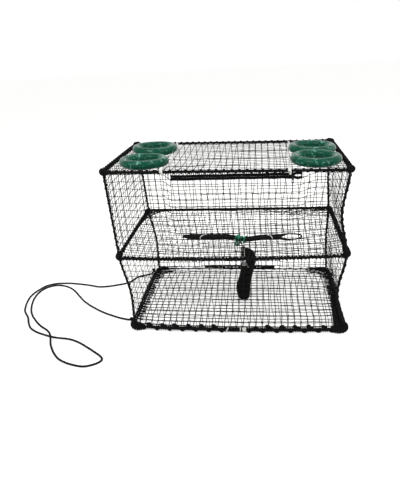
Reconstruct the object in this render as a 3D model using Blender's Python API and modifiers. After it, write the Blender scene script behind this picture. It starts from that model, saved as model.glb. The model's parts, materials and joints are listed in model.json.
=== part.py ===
"""Collapsible two-chamber fish pot: three rod frames joined only by netting and corner ropes."""

import math

import bmesh
import bpy
from mathutils import Vector

# All sizes are in metres. X runs along the front, Y from front to back, Z up from the floor.
frame_length = 0.800
frame_depth = 0.500
frame_corner = 0.020
gap = 0.0003

# Heights of the rod centres, and the small lean of the limp pot at each frame.
bottom_z = 0.0105
lower_height = 0.300
upper_height = 0.300
middle_z = bottom_z + lower_height
top_z = middle_z + upper_height
bottom_lean = Vector((0.015, 0.010, 0.0))
middle_lean = Vector((-0.005, 0.000, 0.0))
top_lean = Vector((-0.015, -0.010, 0.0))

# Rods, with the radius over the lacing at its bumps, between them, and at the corner lashings.
bottom_rod_radius = 0.0060
bottom_bump_radius = 0.0110
bottom_valley_radius = 0.0075
bottom_lashing_radius = 0.0130
bottom_lacing_pitch = 0.050
middle_bump_radius = 0.0050
middle_valley_radius = 0.0042
middle_lashing_radius = 0.0080
top_bump_radius = 0.0060
top_valley_radius = 0.0048
top_lashing_radius = 0.0090
upper_lacing_pitch = 0.100

# Binding over the joint of the bottom rod, at the middle of the front, and the white ties round it.
binding_x = -0.0015
binding_length = 0.0850
binding_radius = 0.0088
binding_groove = 0.0010
binding_turns = 5
bare_margin = 0.0040
binding_tie_thick = 0.0012
binding_tie_x = {"left": -0.0388, "middle": 0.0131, "right": 0.0323}
binding_tie_width = {"left": 0.0070, "middle": 0.0030, "right": 0.0140}

# Netting. One modelled bar stands for four meshes of the real net.
net_bar = 0.0024
net_thick = 0.0020
net_columns = 8
net_rows_flat = 5
net_rows_wall = 3
net_columns_side = 5
net_slope = 0.060
middle_sag = 0.025

# Corner ropes, and how far each one bows in towards the middle of the pot.
rope_radius = 0.0040
lower_bow = {"front_left": 0.012, "front_right": 0.024, "back_left": 0.011, "back_right": 0.006}
upper_bow = {"front_left": 0.000, "front_right": 0.020, "back_left": 0.000, "back_right": 0.004}

# Slit passage in the middle net: a hairpin of rolled hem, thin at its tip, with an eye at its right end.
passage_start = Vector((-0.208, -0.0070))
passage_end = Vector((0.264, -0.0185))
passage_radius = 0.0068
passage_tip_radius = 0.0030
passage_tip_length = 0.0450
passage_rim_radius = 0.0025
passage_slit = 0.0010
eye_length = 0.081
eye_width = 0.060
tie_radius = 0.0010
tie_left_x = -0.1255
tie_right_x = 0.1400

# Slit entrance at the foot of the back wall.
entrance_left_x = -0.157
entrance_right_x = 0.173
entrance_gap = 0.0070
entrance_lift_left = 0.040
entrance_lift_right = 0.050
lip_radius = 0.0025

# Bait bag on its green twine, which loops round both cords of the passage.
bait_x = 0.020
twine_radius = 0.0012
twine_strand_gap = 0.0010
twine_knot_radius = 0.0042
twine_knot_drop = 0.0195
twine_knot_shift = 0.0020
twine_foot_shift = 0.0130
bag_top_shift = 0.0140
bag_top_z = 0.2400
bag_clearance = 0.0004
bag_neck_radius = 0.0053
bag_neck_shift = 0.0003
bag_neck_z = 0.2350
drawcord_radius = 0.0012
tail_drop = 0.0260
tail_rise = 0.0130
tail_bend = 0.0030
tail_end = Vector((0.0040, -0.0115, -0.0015))
lock_width = 0.0125
lock_depth = 0.0090
lock_height = 0.0150
lock_rounding = 0.0022
lock_hole_play = 0.0004
lock_tail_spacing = 0.0055
lock_centre = Vector((0.0330, -0.0400, 0.1915))

# Hollow ring floats on the top net.
float_outer = 0.165
float_tube = 0.027
float_places = {
    "back_left": (-0.3025, 0.058), "front_left": (-0.2970, -0.168),
    "back_right": (0.2880, 0.008), "front_right": (0.2840, -0.166),
}
float_cord_radius = 0.0020

# Zipper under the front bar of the top frame.
zip_left_x = -0.193
zip_right_x = 0.232
zip_below_bar = 0.0010
tape_height = 0.0060
tape_thick = 0.0008
teeth_radius = 0.0011
teeth_pitch = 0.0110
teeth_gap = 0.0014
zip_split_drop = 0.0040
zip_lift_left = 0.030
zip_lift_right = 0.060
tape_fall = 1.15
slider_x = 0.203
slider_length = 0.0100
slider_height = 0.0100
slider_plate = 0.0012
slider_neck_length = 0.0040
slider_neck_height = 0.0008
pull_length = 0.0240
pull_width = 0.0065
pull_thick = 0.0012
pull_pin_radius = 0.0008
pull_wall = 0.0007
ear_thick = 0.0014
ear_height = 0.0036
ear_weld = 0.0004

# Bridle rope, loose on the floor, and its knots against the left bar.
bridle_radius = 0.0040
bridle_knot_radius = 0.0090
bridle_point_spacing = 0.0370
bridle_clearance = 0.0001
bridle_crossing_gap = 0.0006
bridle_end_gap = 0.0005

for old in list(bpy.data.objects):
    bpy.data.objects.remove(old)
model = bpy.data.collections.new("fish_trap")
cutters = bpy.data.collections.new("cutters")
bpy.context.scene.collection.children.link(model)
bpy.context.scene.collection.children.link(cutters)
cutters.hide_render = True


def material(name, colour, roughness, metallic=0.0):
    made = bpy.data.materials.new(name)
    made.use_nodes = True
    surface = made.node_tree.nodes["Principled BSDF"]
    surface.inputs["Base Color"].default_value = (*colour, 1.0)
    surface.inputs["Roughness"].default_value = roughness
    surface.inputs["Metallic"].default_value = metallic
    return made


def to_parent(made, parent):
    """Hangs an object made in world coordinates on an empty, leaving it where it is."""
    bpy.context.view_layer.update()
    made.parent = parent
    made.matrix_parent_inverse = parent.matrix_world.inverted()


def add(name, data, look, parent=None):
    made = bpy.data.objects.new(name, data)
    model.objects.link(made)
    data.materials.clear()
    data.materials.append(look)
    if parent:
        to_parent(made, parent)
    return made


def empty(name, place, parent=None):
    made = bpy.data.objects.new(name, None)
    made.empty_display_size = 0.03
    made.location = place
    model.objects.link(made)
    if parent:
        to_parent(made, parent)
    return made


def smooth_route(points, spacing, closed=False):
    """Points at an even spacing on a smooth curve through the given ones."""
    knots = [Vector(point) for point in points]
    count = len(knots)
    fine = []
    for index in range(count if closed else count - 1):
        if closed:
            a, b, c, d = (knots[(index + k) % count] for k in (-1, 0, 1, 2))
        else:
            a, b, c, d = (knots[min(max(index + k, 0), count - 1)] for k in (-1, 0, 1, 2))
        for step in range(16):
            t = step / 16
            fine.append(0.5 * (2 * b + (c - a) * t + (2 * a - 5 * b + 4 * c - d) * t * t
                               + (3 * b - a - 3 * c + d) * t ** 3))
    fine.append(knots[0] if closed else knots[-1])
    lengths = [0.0]
    for before, after in zip(fine, fine[1:]):
        lengths.append(lengths[-1] + (after - before).length)
    pieces = max(1, round(lengths[-1] / spacing))
    route = []
    position = 0
    for step in range(pieces if closed else pieces + 1):
        wanted = lengths[-1] * step / pieces
        while position < len(fine) - 2 and lengths[position + 1] < wanted:
            position += 1
        share = (wanted - lengths[position]) / (lengths[position + 1] - lengths[position])
        route.append(fine[position].lerp(fine[position + 1], min(1.0, share)))
    return route


def tube(name, points, radius, look, sides=8, closed=False, radii=None, parent=None):
    """A round cord, rope or rod along the points. The radii, where given, differ from point to point."""
    data = bpy.data.curves.new(name, "CURVE")
    data.dimensions = "3D"
    data.bevel_depth = radius
    data.bevel_resolution = (sides - 4) // 2
    data.use_fill_caps = not closed
    spline = data.splines.new("POLY")
    spline.points.add(len(points) - 1)
    for index, point in enumerate(points):
        spline.points[index].co = (*point, 1.0)
        if radii:
            spline.points[index].radius = radii[index] / radius
    spline.use_cyclic_u = closed
    return add(name, data, look, parent)


def as_mesh(curved):
    """Replaces a curve by the mesh that it makes, with its caps welded on."""
    graph = bpy.context.evaluated_depsgraph_get()
    data = bpy.data.meshes.new_from_object(curved.evaluated_get(graph))
    form = bmesh.new()
    form.from_mesh(data)
    bmesh.ops.remove_doubles(form, verts=form.verts, dist=1e-6)
    bmesh.ops.recalc_face_normals(form, faces=form.faces)
    form.to_mesh(data)
    form.free()
    name = curved.name
    collection = curved.users_collection[0]
    place = curved.matrix_world.copy()
    parent = curved.parent
    bpy.data.objects.remove(curved)
    made = bpy.data.objects.new(name, data)
    collection.objects.link(made)
    made.parent = parent
    made.matrix_world = place
    return made


def as_cutter(made):
    for collection in list(made.users_collection):
        collection.objects.unlink(made)
    cutters.objects.link(made)
    made.hide_render = True
    made.display_type = "WIRE"
    return made


def boolean(made, other, operation):
    step = made.modifiers.new(operation.lower(), "BOOLEAN")
    step.operation = operation
    step.solver = "EXACT"
    step.object = as_cutter(other)


def box(name, size, centre, look, rounding=0.0, parent=None):
    form = bmesh.new()
    bmesh.ops.create_cube(form, size=1.0)
    for vertex in form.verts:
        vertex.co = Vector((vertex.co.x * size[0], vertex.co.y * size[1], vertex.co.z * size[2]))
    data = bpy.data.meshes.new(name)
    form.to_mesh(data)
    form.free()
    made = add(name, data, look, parent)
    made.location = centre
    if rounding:
        soft = made.modifiers.new("rounding", "BEVEL")
        soft.width = rounding
        soft.segments = 2
    return made


def shade_round(made):
    made.data.shade_smooth()
    made.data.set_sharp_from_angle(angle=math.radians(50))


black_rope = material("black_rope", (0.010, 0.010, 0.011), 0.85)
black_net = material("black_net", (0.014, 0.014, 0.015), 0.80)
black_tape = material("black_tape", (0.012, 0.012, 0.014), 0.75)
white_cord = material("white_cord", (0.80, 0.80, 0.78), 0.70)
green_twine = material("green_twine", (0.03, 0.22, 0.10), 0.65)
green_plastic = material("green_plastic", (0.02, 0.12, 0.07), 0.18)
bag_mesh = material("bag_mesh", (0.008, 0.007, 0.006), 0.80)
white_plastic = material("white_plastic", (0.82, 0.82, 0.80), 0.35)
zip_metal = material("zip_metal", (0.10, 0.10, 0.11), 0.40, 0.6)

corner_signs = {"front_left": (-1, -1), "front_right": (1, -1), "back_left": (-1, 1), "back_right": (1, 1)}
apex_offset = frame_corner * (1 - math.sqrt(0.5))
frames = {
    "bottom": (bottom_z, bottom_lean, bottom_bump_radius, bottom_valley_radius, bottom_lashing_radius),
    "middle": (middle_z, middle_lean, middle_bump_radius, middle_valley_radius, middle_lashing_radius),
    "top": (top_z, top_lean, top_bump_radius, top_valley_radius, top_lashing_radius),
}


def frame_route(level, pitch):
    """The rod's centre line round the rectangle, with the radius over the lacing at each point."""
    height, lean, bump, valley, lashing = frames[level]
    points = []
    radii = []
    half = Vector((frame_length / 2, frame_depth / 2, 0))
    corners = [(1, -1), (1, 1), (-1, 1), (-1, -1)]
    for number, (sx, sy) in enumerate(corners):
        centre = Vector((sx * (half.x - frame_corner), sy * (half.y - frame_corner), 0))
        first = math.radians(-90 + 90 * number)
        for step in range(5):
            angle = first + math.radians(22.5 * step)
            points.append(centre + frame_corner * Vector((math.cos(angle), math.sin(angle), 0)))
            radii.append(valley if step in (0, 4) else lashing)
        nx, ny = corners[(number + 1) % 4]
        following = Vector((nx * (half.x - frame_corner), ny * (half.y - frame_corner), 0))
        shift = frame_corner * Vector((math.cos(first + math.pi / 2), math.sin(first + math.pi / 2), 0))
        start = centre + shift
        end = following + shift
        bumps = max(1, round((end - start).length / pitch))
        for step in range(1, 2 * bumps):
            points.append(start.lerp(end, step / (2 * bumps)))
            radii.append(bump if step % 2 else valley)
    moved = [point + lean + Vector((0, 0, height)) for point in points]
    return moved, radii


def corner_at(level, corner, z, slack=1.0):
    """Centre of the corner rope of the lower or upper chamber at a height."""
    low, high, bow = ("bottom", "middle", lower_bow) if level == "lower" else ("middle", "top", upper_bow)
    z_low, lean_low = frames[low][:2]
    z_high, lean_high = frames[high][:2]
    share = (z - z_low) / (z_high - z_low)
    sx, sy = corner_signs[corner]
    lean = lean_low.lerp(lean_high, share)
    inward = slack * bow[corner] * math.sin(math.pi * min(1.0, max(0.0, share))) ** 2
    x = sx * (frame_length / 2 - apex_offset - inward) + lean.x
    y = sy * (frame_depth / 2 - apex_offset) + lean.y
    return Vector((x, y, z))


def near_end(share, count):
    """1 at either end of a row of meshes, falling to 0 at the first bar in."""
    return max(0.0, 1 - count * min(share, 1 - share))


def net_panel(name, columns, rows, width, height, place, look, parent=None):
    """Flat netting: a grid whose faces are inset and opened, bent by place(u, v) and given its thickness."""
    form = bmesh.new()
    bmesh.ops.create_grid(form, x_segments=columns, y_segments=rows, size=0.5)
    for vertex in form.verts:
        vertex.co = Vector((vertex.co.x * width, vertex.co.y * height, 0))
    openings = form.faces[:]
    bmesh.ops.inset_individual(form, faces=openings, thickness=net_bar / 2, use_even_offset=True)
    bmesh.ops.delete(form, geom=openings, context="FACES")
    for vertex in form.verts:
        u = min(1.0, max(0.0, vertex.co.x / width + 0.5))
        v = min(1.0, max(0.0, vertex.co.y / height + 0.5))
        vertex.co = place(u, v)
    data = bpy.data.meshes.new(name)
    form.to_mesh(data)
    form.free()
    made = add(name, data, look, parent)
    thick = made.modifiers.new("thickness", "SOLIDIFY")
    thick.thickness = net_thick
    thick.offset = 0
    return made


def flat_net(name, level, edge, corner_edge, height_at, parent):
    """A net across a frame. Its edge stands off the rod's centre line, and further off at the corners."""
    _, lean = frames[level][:2]

    def place(u, v):
        side = edge + (corner_edge - edge) * near_end(v, net_rows_flat)
        end = edge + (corner_edge - edge) * near_end(u, net_columns)
        x = (2 * u - 1) * (frame_length / 2 - side)
        y = (2 * v - 1) * (frame_depth / 2 - end)
        return Vector((x + lean.x, y + lean.y, height_at(x, y)))

    return net_panel(name, net_columns, net_rows_flat, frame_length, frame_depth, place, black_net, parent)


def ramp(x, low, high, run):
    """1 from low to high, falling to 0 over the run on each side."""
    return max(0.0, min(1.0, 1 + (x - low) / run, 1 + (high - x) / run))


# The middle and top rods have six sides, so their undersides lie a little inside their radius.
thin_rod_flat = 0.92
# The edge of a wall net runs straight from row to row, so it keeps outside the rope's bow.
edge_slack = 1 / math.sin(math.pi / net_rows_wall) ** 2


def wall_net(name, level, left, right, outward, columns, foot_rise, head_drop, parent):
    low, high = ("bottom", "middle") if level == "lower" else ("middle", "top")
    z_low = frames[low][0]
    z_high = frames[high][0]
    seat_low = frames[low][2] * (1 if low == "bottom" else thin_rod_flat)
    seat_high = frames[high][2] * thin_rod_flat
    corner_low = frames[low][4] - seat_low + 2 * gap
    corner_high = frames[high][4] - seat_high + 2 * gap
    halfway = (z_low + z_high) / 2

    def place(u, v):
        corner = near_end(u, columns)
        plain = corner_at(level, left, halfway).lerp(corner_at(level, right, halfway), u)
        foot = z_low + seat_low + gap + corner_low * corner + foot_rise(plain.x)
        head = z_high - seat_high - gap - corner_high * corner - head_drop(plain.x)
        z = foot + (head - foot) * v
        start = corner_at(level, left, z, edge_slack)
        end = corner_at(level, right, z, edge_slack)
        along = end - start
        inset = rope_radius + gap
        spot = start + along.normalized() * (inset + u * (along.length - 2 * inset))
        return spot + outward * apex_offset * (1 - corner)

    width = frame_length if columns == net_columns else frame_depth
    return net_panel(name, columns, net_rows_wall, width, z_high - z_low, place, black_net, parent)


def none(_):
    return 0.0


middle_axis = empty("middle_slide_axis", (0, 0, middle_z))
top_axis = empty("top_slide_axis", (0, 0, top_z), middle_axis)

# Bottom frame, its binding and the floor net. The rod is bare under the binding.
points, radii = frame_route("bottom", bottom_lacing_pitch)
bare = binding_length / 2 + bottom_lacing_pitch / 2 + bare_margin
for number, point in enumerate(points):
    if point.y < 0 and abs(point.x - binding_x) < bare:
        radii[number] = bottom_rod_radius
bottom_frame = as_mesh(tube("bottom_frame", points, bottom_bump_radius, black_rope, closed=True, radii=radii))
ground_cut = box("ground_cut", (2 * frame_length, 2 * frame_depth, 0.02), (0, 0, -0.01), black_rope)
boolean(bottom_frame, ground_cut, "DIFFERENCE")

bar_y = bottom_lean.y - frame_depth / 2


def turned_ring(name, profile, x, look):
    """A ring round the front bar of the bottom frame, turned from (x, radius) points of its section."""
    form = bmesh.new()
    outline = [form.verts.new((point_x, 0, radius)) for point_x, radius in profile]
    for first, second in zip(outline, outline[1:] + outline[:1]):
        form.edges.new((first, second))
    data = bpy.data.meshes.new(name)
    form.to_mesh(data)
    form.free()
    made = add(name, data, look)
    made.location = (x, bar_y, bottom_z)
    turned = made.modifiers.new("turned", "SCREW")
    turned.axis = "X"
    turned.steps = 12
    turned.render_steps = 12
    turned.use_merge_vertices = True
    turned.merge_threshold = 0.00001
    return as_mesh(made)


ring_low = bottom_rod_radius + gap
ring_mid = binding_radius - binding_groove
profile = [(-binding_length / 2, ring_low)]
for turn in range(binding_turns):
    start = -binding_length / 2 + binding_length * turn / binding_turns
    for share, radius in ((0.02, ring_mid), (0.30, binding_radius), (0.70, binding_radius), (0.98, ring_mid)):
        profile.append((start + share * binding_length / binding_turns, radius))
profile.append((binding_length / 2, ring_low))
turned_ring("bottom_joint_binding", profile, binding_x, black_rope)
for place, x in binding_tie_x.items():
    half = binding_tie_width[place] / 2
    low = binding_radius + gap
    high = low + binding_tie_thick
    profile = [(-half, low), (-half, high), (half, high), (half, low)]
    turned_ring(f"binding_tie_{place}", profile, x, white_cord)


def on_ground(_, __):
    return net_thick / 2


reach = math.sqrt(bottom_bump_radius ** 2 - (bottom_z - net_thick) ** 2)
corner_reach = math.sqrt(bottom_lashing_radius ** 2 - (bottom_z - net_thick) ** 2)
flat_net("floor_net", "bottom", reach + gap, apex_offset + (corner_reach + 2 * gap) * math.sqrt(0.5) + gap,
         on_ground, None)

# Slit entrance: a cord along each of its edges. The lower one lies on the bottom rod's lacing.
lip_foot = bottom_z + bottom_bump_radius + gap + lip_radius
lip_head = lip_foot + entrance_gap + 2 * lip_radius
lip_y = bottom_lean.y + frame_depth / 2
for place, height in (("lower", lip_foot), ("upper", lip_head)):
    route = [(entrance_left_x, lip_y, height), (entrance_right_x, lip_y, height)]
    tube(f"entrance_lip_{place}", route, lip_radius, black_rope)


def over_entrance(x):
    rise = lip_head + lip_radius + 2 * gap - (bottom_z + bottom_bump_radius + gap)
    low = entrance_left_x - entrance_lift_left
    high = entrance_right_x + entrance_lift_right
    return rise * ramp(x, low, high, net_slope)


zip_top = top_z - top_bump_radius - zip_below_bar
zip_height = 2 * (tape_height + gap + 2 * teeth_radius) + teeth_gap


def under_zipper(x):
    drop = zip_below_bar + zip_height + tape_fall * zip_split_drop + gap
    return drop * ramp(x, zip_left_x - zip_lift_left, zip_right_x + zip_lift_right, net_slope)


# Wall nets and corner ropes of both chambers.
sides = {
    "front": ("front_left", "front_right", Vector((0, -1, 0)), net_columns),
    "back": ("back_left", "back_right", Vector((0, 1, 0)), net_columns),
    "left": ("back_left", "front_left", Vector((-1, 0, 0)), net_columns_side),
    "right": ("back_right", "front_right", Vector((1, 0, 0)), net_columns_side),
}
for level, parent in (("lower", None), ("upper", middle_axis)):
    for side, (left, right, outward, columns) in sides.items():
        foot_rise = over_entrance if (level, side) == ("lower", "back") else none
        head_drop = under_zipper if (level, side) == ("upper", "front") else none
        wall_net(f"{level}_net_{side}", level, left, right, outward, columns, foot_rise, head_drop, parent)
    low, high = ("bottom", "middle") if level == "lower" else ("middle", "top")
    foot = frames[low][0] + frames[low][4] + 2 * gap
    head = frames[high][0] - frames[high][4] - 2 * gap
    for corner in corner_signs:
        route = [corner_at(level, corner, foot + (head - foot) * step / 8) for step in range(9)]
        tube(f"{level}_rope_{corner}", route, rope_radius, black_rope, sides=6, parent=parent)

# Middle frame and net. The net sags, and the slit of the passage is cut through its bars.
points, radii = frame_route("middle", upper_lacing_pitch)
tube("middle_frame", points, middle_bump_radius, black_rope, sides=6, closed=True, radii=radii,
     parent=middle_axis)


def sag_at(x, y):
    across = 1 - (2 * x / frame_length) ** 4
    return middle_z - middle_sag * across * (1 - (2 * y / frame_depth) ** 2)


def flat_corner(lashing):
    return apex_offset + (lashing + 2 * gap) * math.sqrt(0.5) + gap


middle_net = flat_net("middle_net", "middle", middle_bump_radius + gap, flat_corner(middle_lashing_radius),
                      sag_at, middle_axis)

along = (passage_end - passage_start).normalized()
across = Vector((-along.y, along.x))
passage_length = (passage_end - passage_start).length
run_half = passage_radius + passage_slit / 2
eye_half = eye_length / 2
run_length = passage_length - passage_rim_radius - 2 * eye_half


def passage_thick(distance):
    """Radius of the hem, at a distance from the start."""
    lead = math.sin(math.pi / 2 * min(1.0, distance / passage_tip_length))
    full = passage_tip_radius + (passage_radius - passage_tip_radius) * lead
    into_eye = min(1.0, max(0.0, (distance - run_length) / eye_half))
    return full + (passage_rim_radius - full) * into_eye


def passage_half(distance):
    """Half the distance between the two runs, at a distance from the start."""
    from_end = passage_length - passage_rim_radius - distance
    if from_end > 2 * eye_half:
        return passage_thick(distance) + passage_slit / 2
    if from_end > eye_half:
        share = (2 * eye_half - from_end) / eye_half
        return run_half + (eye_width / 2 - run_half) * (1 - math.cos(math.pi * share)) / 2
    return eye_width / 2 * math.sqrt(max(0.0, 1 - ((eye_half - from_end) / eye_half) ** 2))


stops = [passage_tip_length * step / 3 for step in range(3)]
stops += [passage_tip_length + (run_length - passage_tip_length) * step / 5 for step in range(6)]
stops += [run_length + eye_half * step / 5 for step in range(1, 6)]
stops += [run_length + eye_half * (1 + math.sin(math.radians(15 * step))) for step in range(1, 6)]
tip = passage_length - passage_rim_radius


def passage_point(distance, offset):
    flat = passage_start + along * distance + across * offset
    return Vector((flat.x, flat.y, sag_at(flat.x - middle_lean.x, flat.y - middle_lean.y)))


lower_run = [passage_point(stop, -passage_half(stop)) for stop in stops]
upper_run = [passage_point(stop, passage_half(stop)) for stop in reversed(stops)]
eye_share = [min(1.0, max(0.0, (stop - run_length) / eye_half)) for stop in stops]
run_radii = [passage_thick(stop) for stop in stops]
passage_points = lower_run + [passage_point(tip, 0)] + upper_run
passage_radii = run_radii + [passage_rim_radius] + run_radii[::-1]
tube("passage_cord", passage_points, passage_radius, black_rope, radii=passage_radii, parent=middle_axis)

tip_clear = passage_half(0) + passage_tip_radius + gap
outline = [passage_start - along * gap + across * side * tip_clear for side in (1, -1)]
# Where the eye widens, the cut stands off further, because its side there is not along the passage.
clear = [(stop, passage_half(stop) + (radius + gap) * (1 + 0.8 * share))
         for stop, radius, share in zip(stops, run_radii, eye_share)]
outline += [passage_start + along * stop - across * offset for stop, offset in clear]
outline += [passage_end + along * 2 * gap + across * side * passage_rim_radius * 3 for side in (-1, 1)]
outline += [passage_start + along * stop + across * offset for stop, offset in reversed(clear)]
outline = [outline[1]] + outline[2:] + [outline[0]]
data = bpy.data.curves.new("passage_cut", "CURVE")
data.dimensions = "2D"
data.fill_mode = "BOTH"
data.extrude = middle_sag
spline = data.splines.new("POLY")
spline.points.add(len(outline) - 1)
for index, point in enumerate(outline):
    spline.points[index].co = (point.x, point.y, 0, 1)
spline.use_cyclic_u = True
passage_cut = add("passage_cut", data, black_rope)
passage_cut.location.z = middle_z - middle_sag
bpy.context.view_layer.update()
passage_cut = as_mesh(passage_cut)
boolean(middle_net, passage_cut, "DIFFERENCE")


def distance_at(x):
    return (x - passage_start.x) / along.x


def stadium(x, radius, steps=6):
    """A ring of cord round both runs of the passage, at one place along it."""
    centre = passage_point(distance_at(x), 0)
    ring = []
    for side, first in ((1, 90), (-1, 270)):
        for step in range(steps):
            angle = math.radians(first - 180 * step / (steps - 1))
            spoke = radius * Vector((0, math.cos(angle), math.sin(angle)))
            ring.append(centre + Vector((0, side * run_half, 0)) + spoke)
    return ring


for name, x in (("passage_tie_left", tie_left_x), ("passage_tie_right", tie_right_x)):
    tube(name, stadium(x, passage_radius + gap + tie_radius), tie_radius, white_cord, sides=6, closed=True,
         parent=middle_axis)

# Bait twine: a round loop about both cords, drawn into a knot, with two strands down to the bag.
twine_centre = passage_point(distance_at(bait_x), 0)
twine_axis = empty("bait_swing_axis", twine_centre, middle_axis)
loop_radius = run_half + passage_radius + 2 * gap + twine_radius
strand_half = twine_radius + twine_strand_gap / 2
bag_top = Vector((bait_x + bag_top_shift, twine_centre.y, bag_top_z))
strand_foot = bag_top.z + bag_clearance / 2 - twine_centre.z
half_drop = (twine_knot_drop + loop_radius) / 2
twine_points = []
for side in (-1, 1):
    run = [
        twine_centre + Vector((twine_foot_shift, side * strand_half, strand_foot)),
        twine_centre + Vector((twine_knot_shift, side * strand_half, -twine_knot_drop)),
        twine_centre + Vector((0, side * 0.55 * loop_radius, -half_drop)),
    ]
    twine_points.append(run)
ring = []
for step in range(13):
    angle = math.radians(-40 + 260 * step / 12)
    ring.append(twine_centre + loop_radius * Vector((0, -math.cos(angle), math.sin(angle))))
twine_route = twine_points[0] + ring + twine_points[1][::-1]
twine = as_mesh(tube("bait_twine", twine_route, twine_radius, green_twine, parent=twine_axis))
form = bmesh.new()
bmesh.ops.create_icosphere(form, subdivisions=2, radius=twine_knot_radius)
data = bpy.data.meshes.new("twine_knot")
form.to_mesh(data)
form.free()
knot = add("twine_knot", data, green_twine)
knot.location = twine_centre + Vector((twine_knot_shift, 0, -twine_knot_drop))
boolean(twine, knot, "UNION")

# Bait bag with two lobes, its drawcord, and the lock on the tails of the cord.
# Each ring of the bag is level: its centre's x, its height and its radius.
bag_route = [
    (bag_top.x, bag_top.z - bag_clearance / 2, 0.0000), (bag_top.x, 0.2394, 0.0042), (0.0345, 0.2330, 0.0055),
    (0.0400, 0.2250, 0.0110), (0.0510, 0.2140, 0.0190), (0.0580, 0.2010, 0.0250), (0.0580, 0.1860, 0.0260),
    (0.0530, 0.1690, 0.0240), (0.0470, 0.1500, 0.0220), (0.0410, 0.1280, 0.0230), (0.0350, 0.1050, 0.0255),
    (0.0320, 0.0800, 0.0278), (0.0320, 0.0560, 0.0282), (0.0320, 0.0360, 0.0260), (0.0325, 0.0190, 0.0205),
    (0.0330, 0.0090, 0.0130), (0.0335, 0.0035, 0.0000),
]
form = bmesh.new()
bmesh.ops.create_uvsphere(form, u_segments=14, v_segments=len(bag_route) - 1, radius=1.0)
for vertex in form.verts:
    ring = round(math.acos(max(-1.0, min(1.0, vertex.co.z))) / math.pi * (len(bag_route) - 1))
    x, z, radius = bag_route[ring]
    flat = Vector((vertex.co.x, vertex.co.y))
    if flat.length > 0.0001:
        flat.normalize()
    vertex.co = Vector((x + radius * flat.x, twine_centre.y + radius * flat.y, z))
data = bpy.data.meshes.new("bait_bag")
form.to_mesh(data)
form.free()
add("bait_bag", data, bag_mesh, twine_axis)

neck = Vector((bag_top.x + bag_neck_shift, twine_centre.y, bag_neck_z))
neck_radius = bag_neck_radius + drawcord_radius + gap
tails = []
for side in (-1, 1):
    x = lock_centre.x + side * lock_tail_spacing / 2
    tails.append([
        Vector((x, lock_centre.y, lock_centre.z - tail_drop)),
        Vector((x, lock_centre.y, lock_centre.z)),
        Vector((x, lock_centre.y, lock_centre.z + tail_rise)),
        Vector((x, lock_centre.y + tail_bend, lock_centre.z + 2 * tail_rise)),
        neck + Vector((side * tail_end.x, tail_end.y, tail_end.z)),
    ])
ring = [math.radians(230 - 280 * step / 10) for step in range(11)]
neck_points = [neck + neck_radius * Vector((math.cos(angle), math.sin(angle), 0)) for angle in ring]
drawcord_route = tails[0] + neck_points + tails[1][::-1]
tube("bag_drawcord", drawcord_route, drawcord_radius, white_cord, sides=6, parent=twine_axis)

lock_axis = empty("lock_slide_axis", lock_centre, twine_axis)
lock = box("cord_lock", (lock_width, lock_depth, lock_height), (0, 0, 0), white_plastic, lock_rounding)
lock.location = lock_centre
for side in (-1, 1):
    form = bmesh.new()
    hole_radius = drawcord_radius + lock_hole_play
    bmesh.ops.create_cone(form, cap_ends=True, segments=10, radius1=hole_radius, radius2=hole_radius,
                          depth=3 * lock_height)
    data = bpy.data.meshes.new(f"lock_hole_{side}")
    form.to_mesh(data)
    form.free()
    hole = add(f"lock_hole_{side}", data, white_plastic)
    hole.location = lock_centre + Vector((side * lock_tail_spacing / 2, 0, 0))
    boolean(lock, hole, "DIFFERENCE")
to_parent(lock, lock_axis)

# Top frame and net, floats and their cords.
points, radii = frame_route("top", upper_lacing_pitch)
tube("top_frame", points, top_bump_radius, black_rope, sides=6, closed=True, radii=radii, parent=top_axis)


def level_top(_, __):
    return top_z


flat_net("top_net", "top", top_bump_radius + gap, flat_corner(top_lashing_radius), level_top, top_axis)

float_z = top_z + net_thick / 2 + gap + float_tube / 2
ring_radius = (float_outer - float_tube) / 2
for place, (x, y) in float_places.items():
    ring = []
    for step in range(20):
        angle = 2 * math.pi * step / 20
        ring.append((ring_radius * math.cos(angle), ring_radius * math.sin(angle), 0))
    ring_float = tube(f"float_{place}", ring, float_tube / 2, green_plastic, closed=True)
    ring_float.location = (x, y, float_z)
    to_parent(ring_float, top_axis)

cord_z = top_z + net_thick / 2 + gap + float_cord_radius
bar_front = top_lean.y - frame_depth / 2
wrap = top_bump_radius + gap + float_cord_radius
cord_routes = {
    "left": [(-0.236, 0.210), (-0.2235, 0.130), (-0.2165, 0.058), (-0.2155, -0.060), (-0.2115, -0.168)],
    "right": [(0.217, 0.181), (0.2095, 0.095), (0.2030, 0.008), (0.2010, -0.080), (0.1980, -0.166)],
}
cord_ends = {"left": -0.230, "right": 0.195}
for side, flat in cord_routes.items():
    end_x = cord_ends[side]
    route = [Vector((x, y, cord_z)) for x, y in flat]
    route.append(Vector((end_x, bar_front + 2.6 * wrap, cord_z)))
    for degrees in (55, 80, 105, 130, 155, 180):
        angle = math.radians(degrees)
        route.append(Vector((end_x, bar_front + wrap * math.cos(angle), top_z + wrap * math.sin(angle))))
    tube(f"float_cord_{side}", smooth_route(route[:6], 0.03) + route[6:], float_cord_radius, white_cord,
         sides=6, parent=top_axis)

# Zipper: two tapes and two rows of teeth, closed as far as the slider and parted beyond it.
upper_tape_z = zip_top - tape_height / 2
upper_teeth_z = zip_top - tape_height - gap - teeth_radius
lower_teeth_z = upper_teeth_z - 2 * teeth_radius - teeth_gap
lower_tape_z = lower_teeth_z - teeth_radius - gap - tape_height / 2
part_start = slider_x + slider_length / 2


def parted(x):
    """How far the lower half of the zipper hangs away from the upper one."""
    share = max(0.0, min(1.0, (x - part_start) / (zip_right_x - part_start)))
    return zip_split_drop * math.sin(math.pi * share)


zip_stops = [zip_left_x + (part_start - zip_left_x) * step / 8 for step in range(9)]
zip_stops += [part_start + (zip_right_x - part_start) * step / 6 for step in range(1, 7)]
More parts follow.
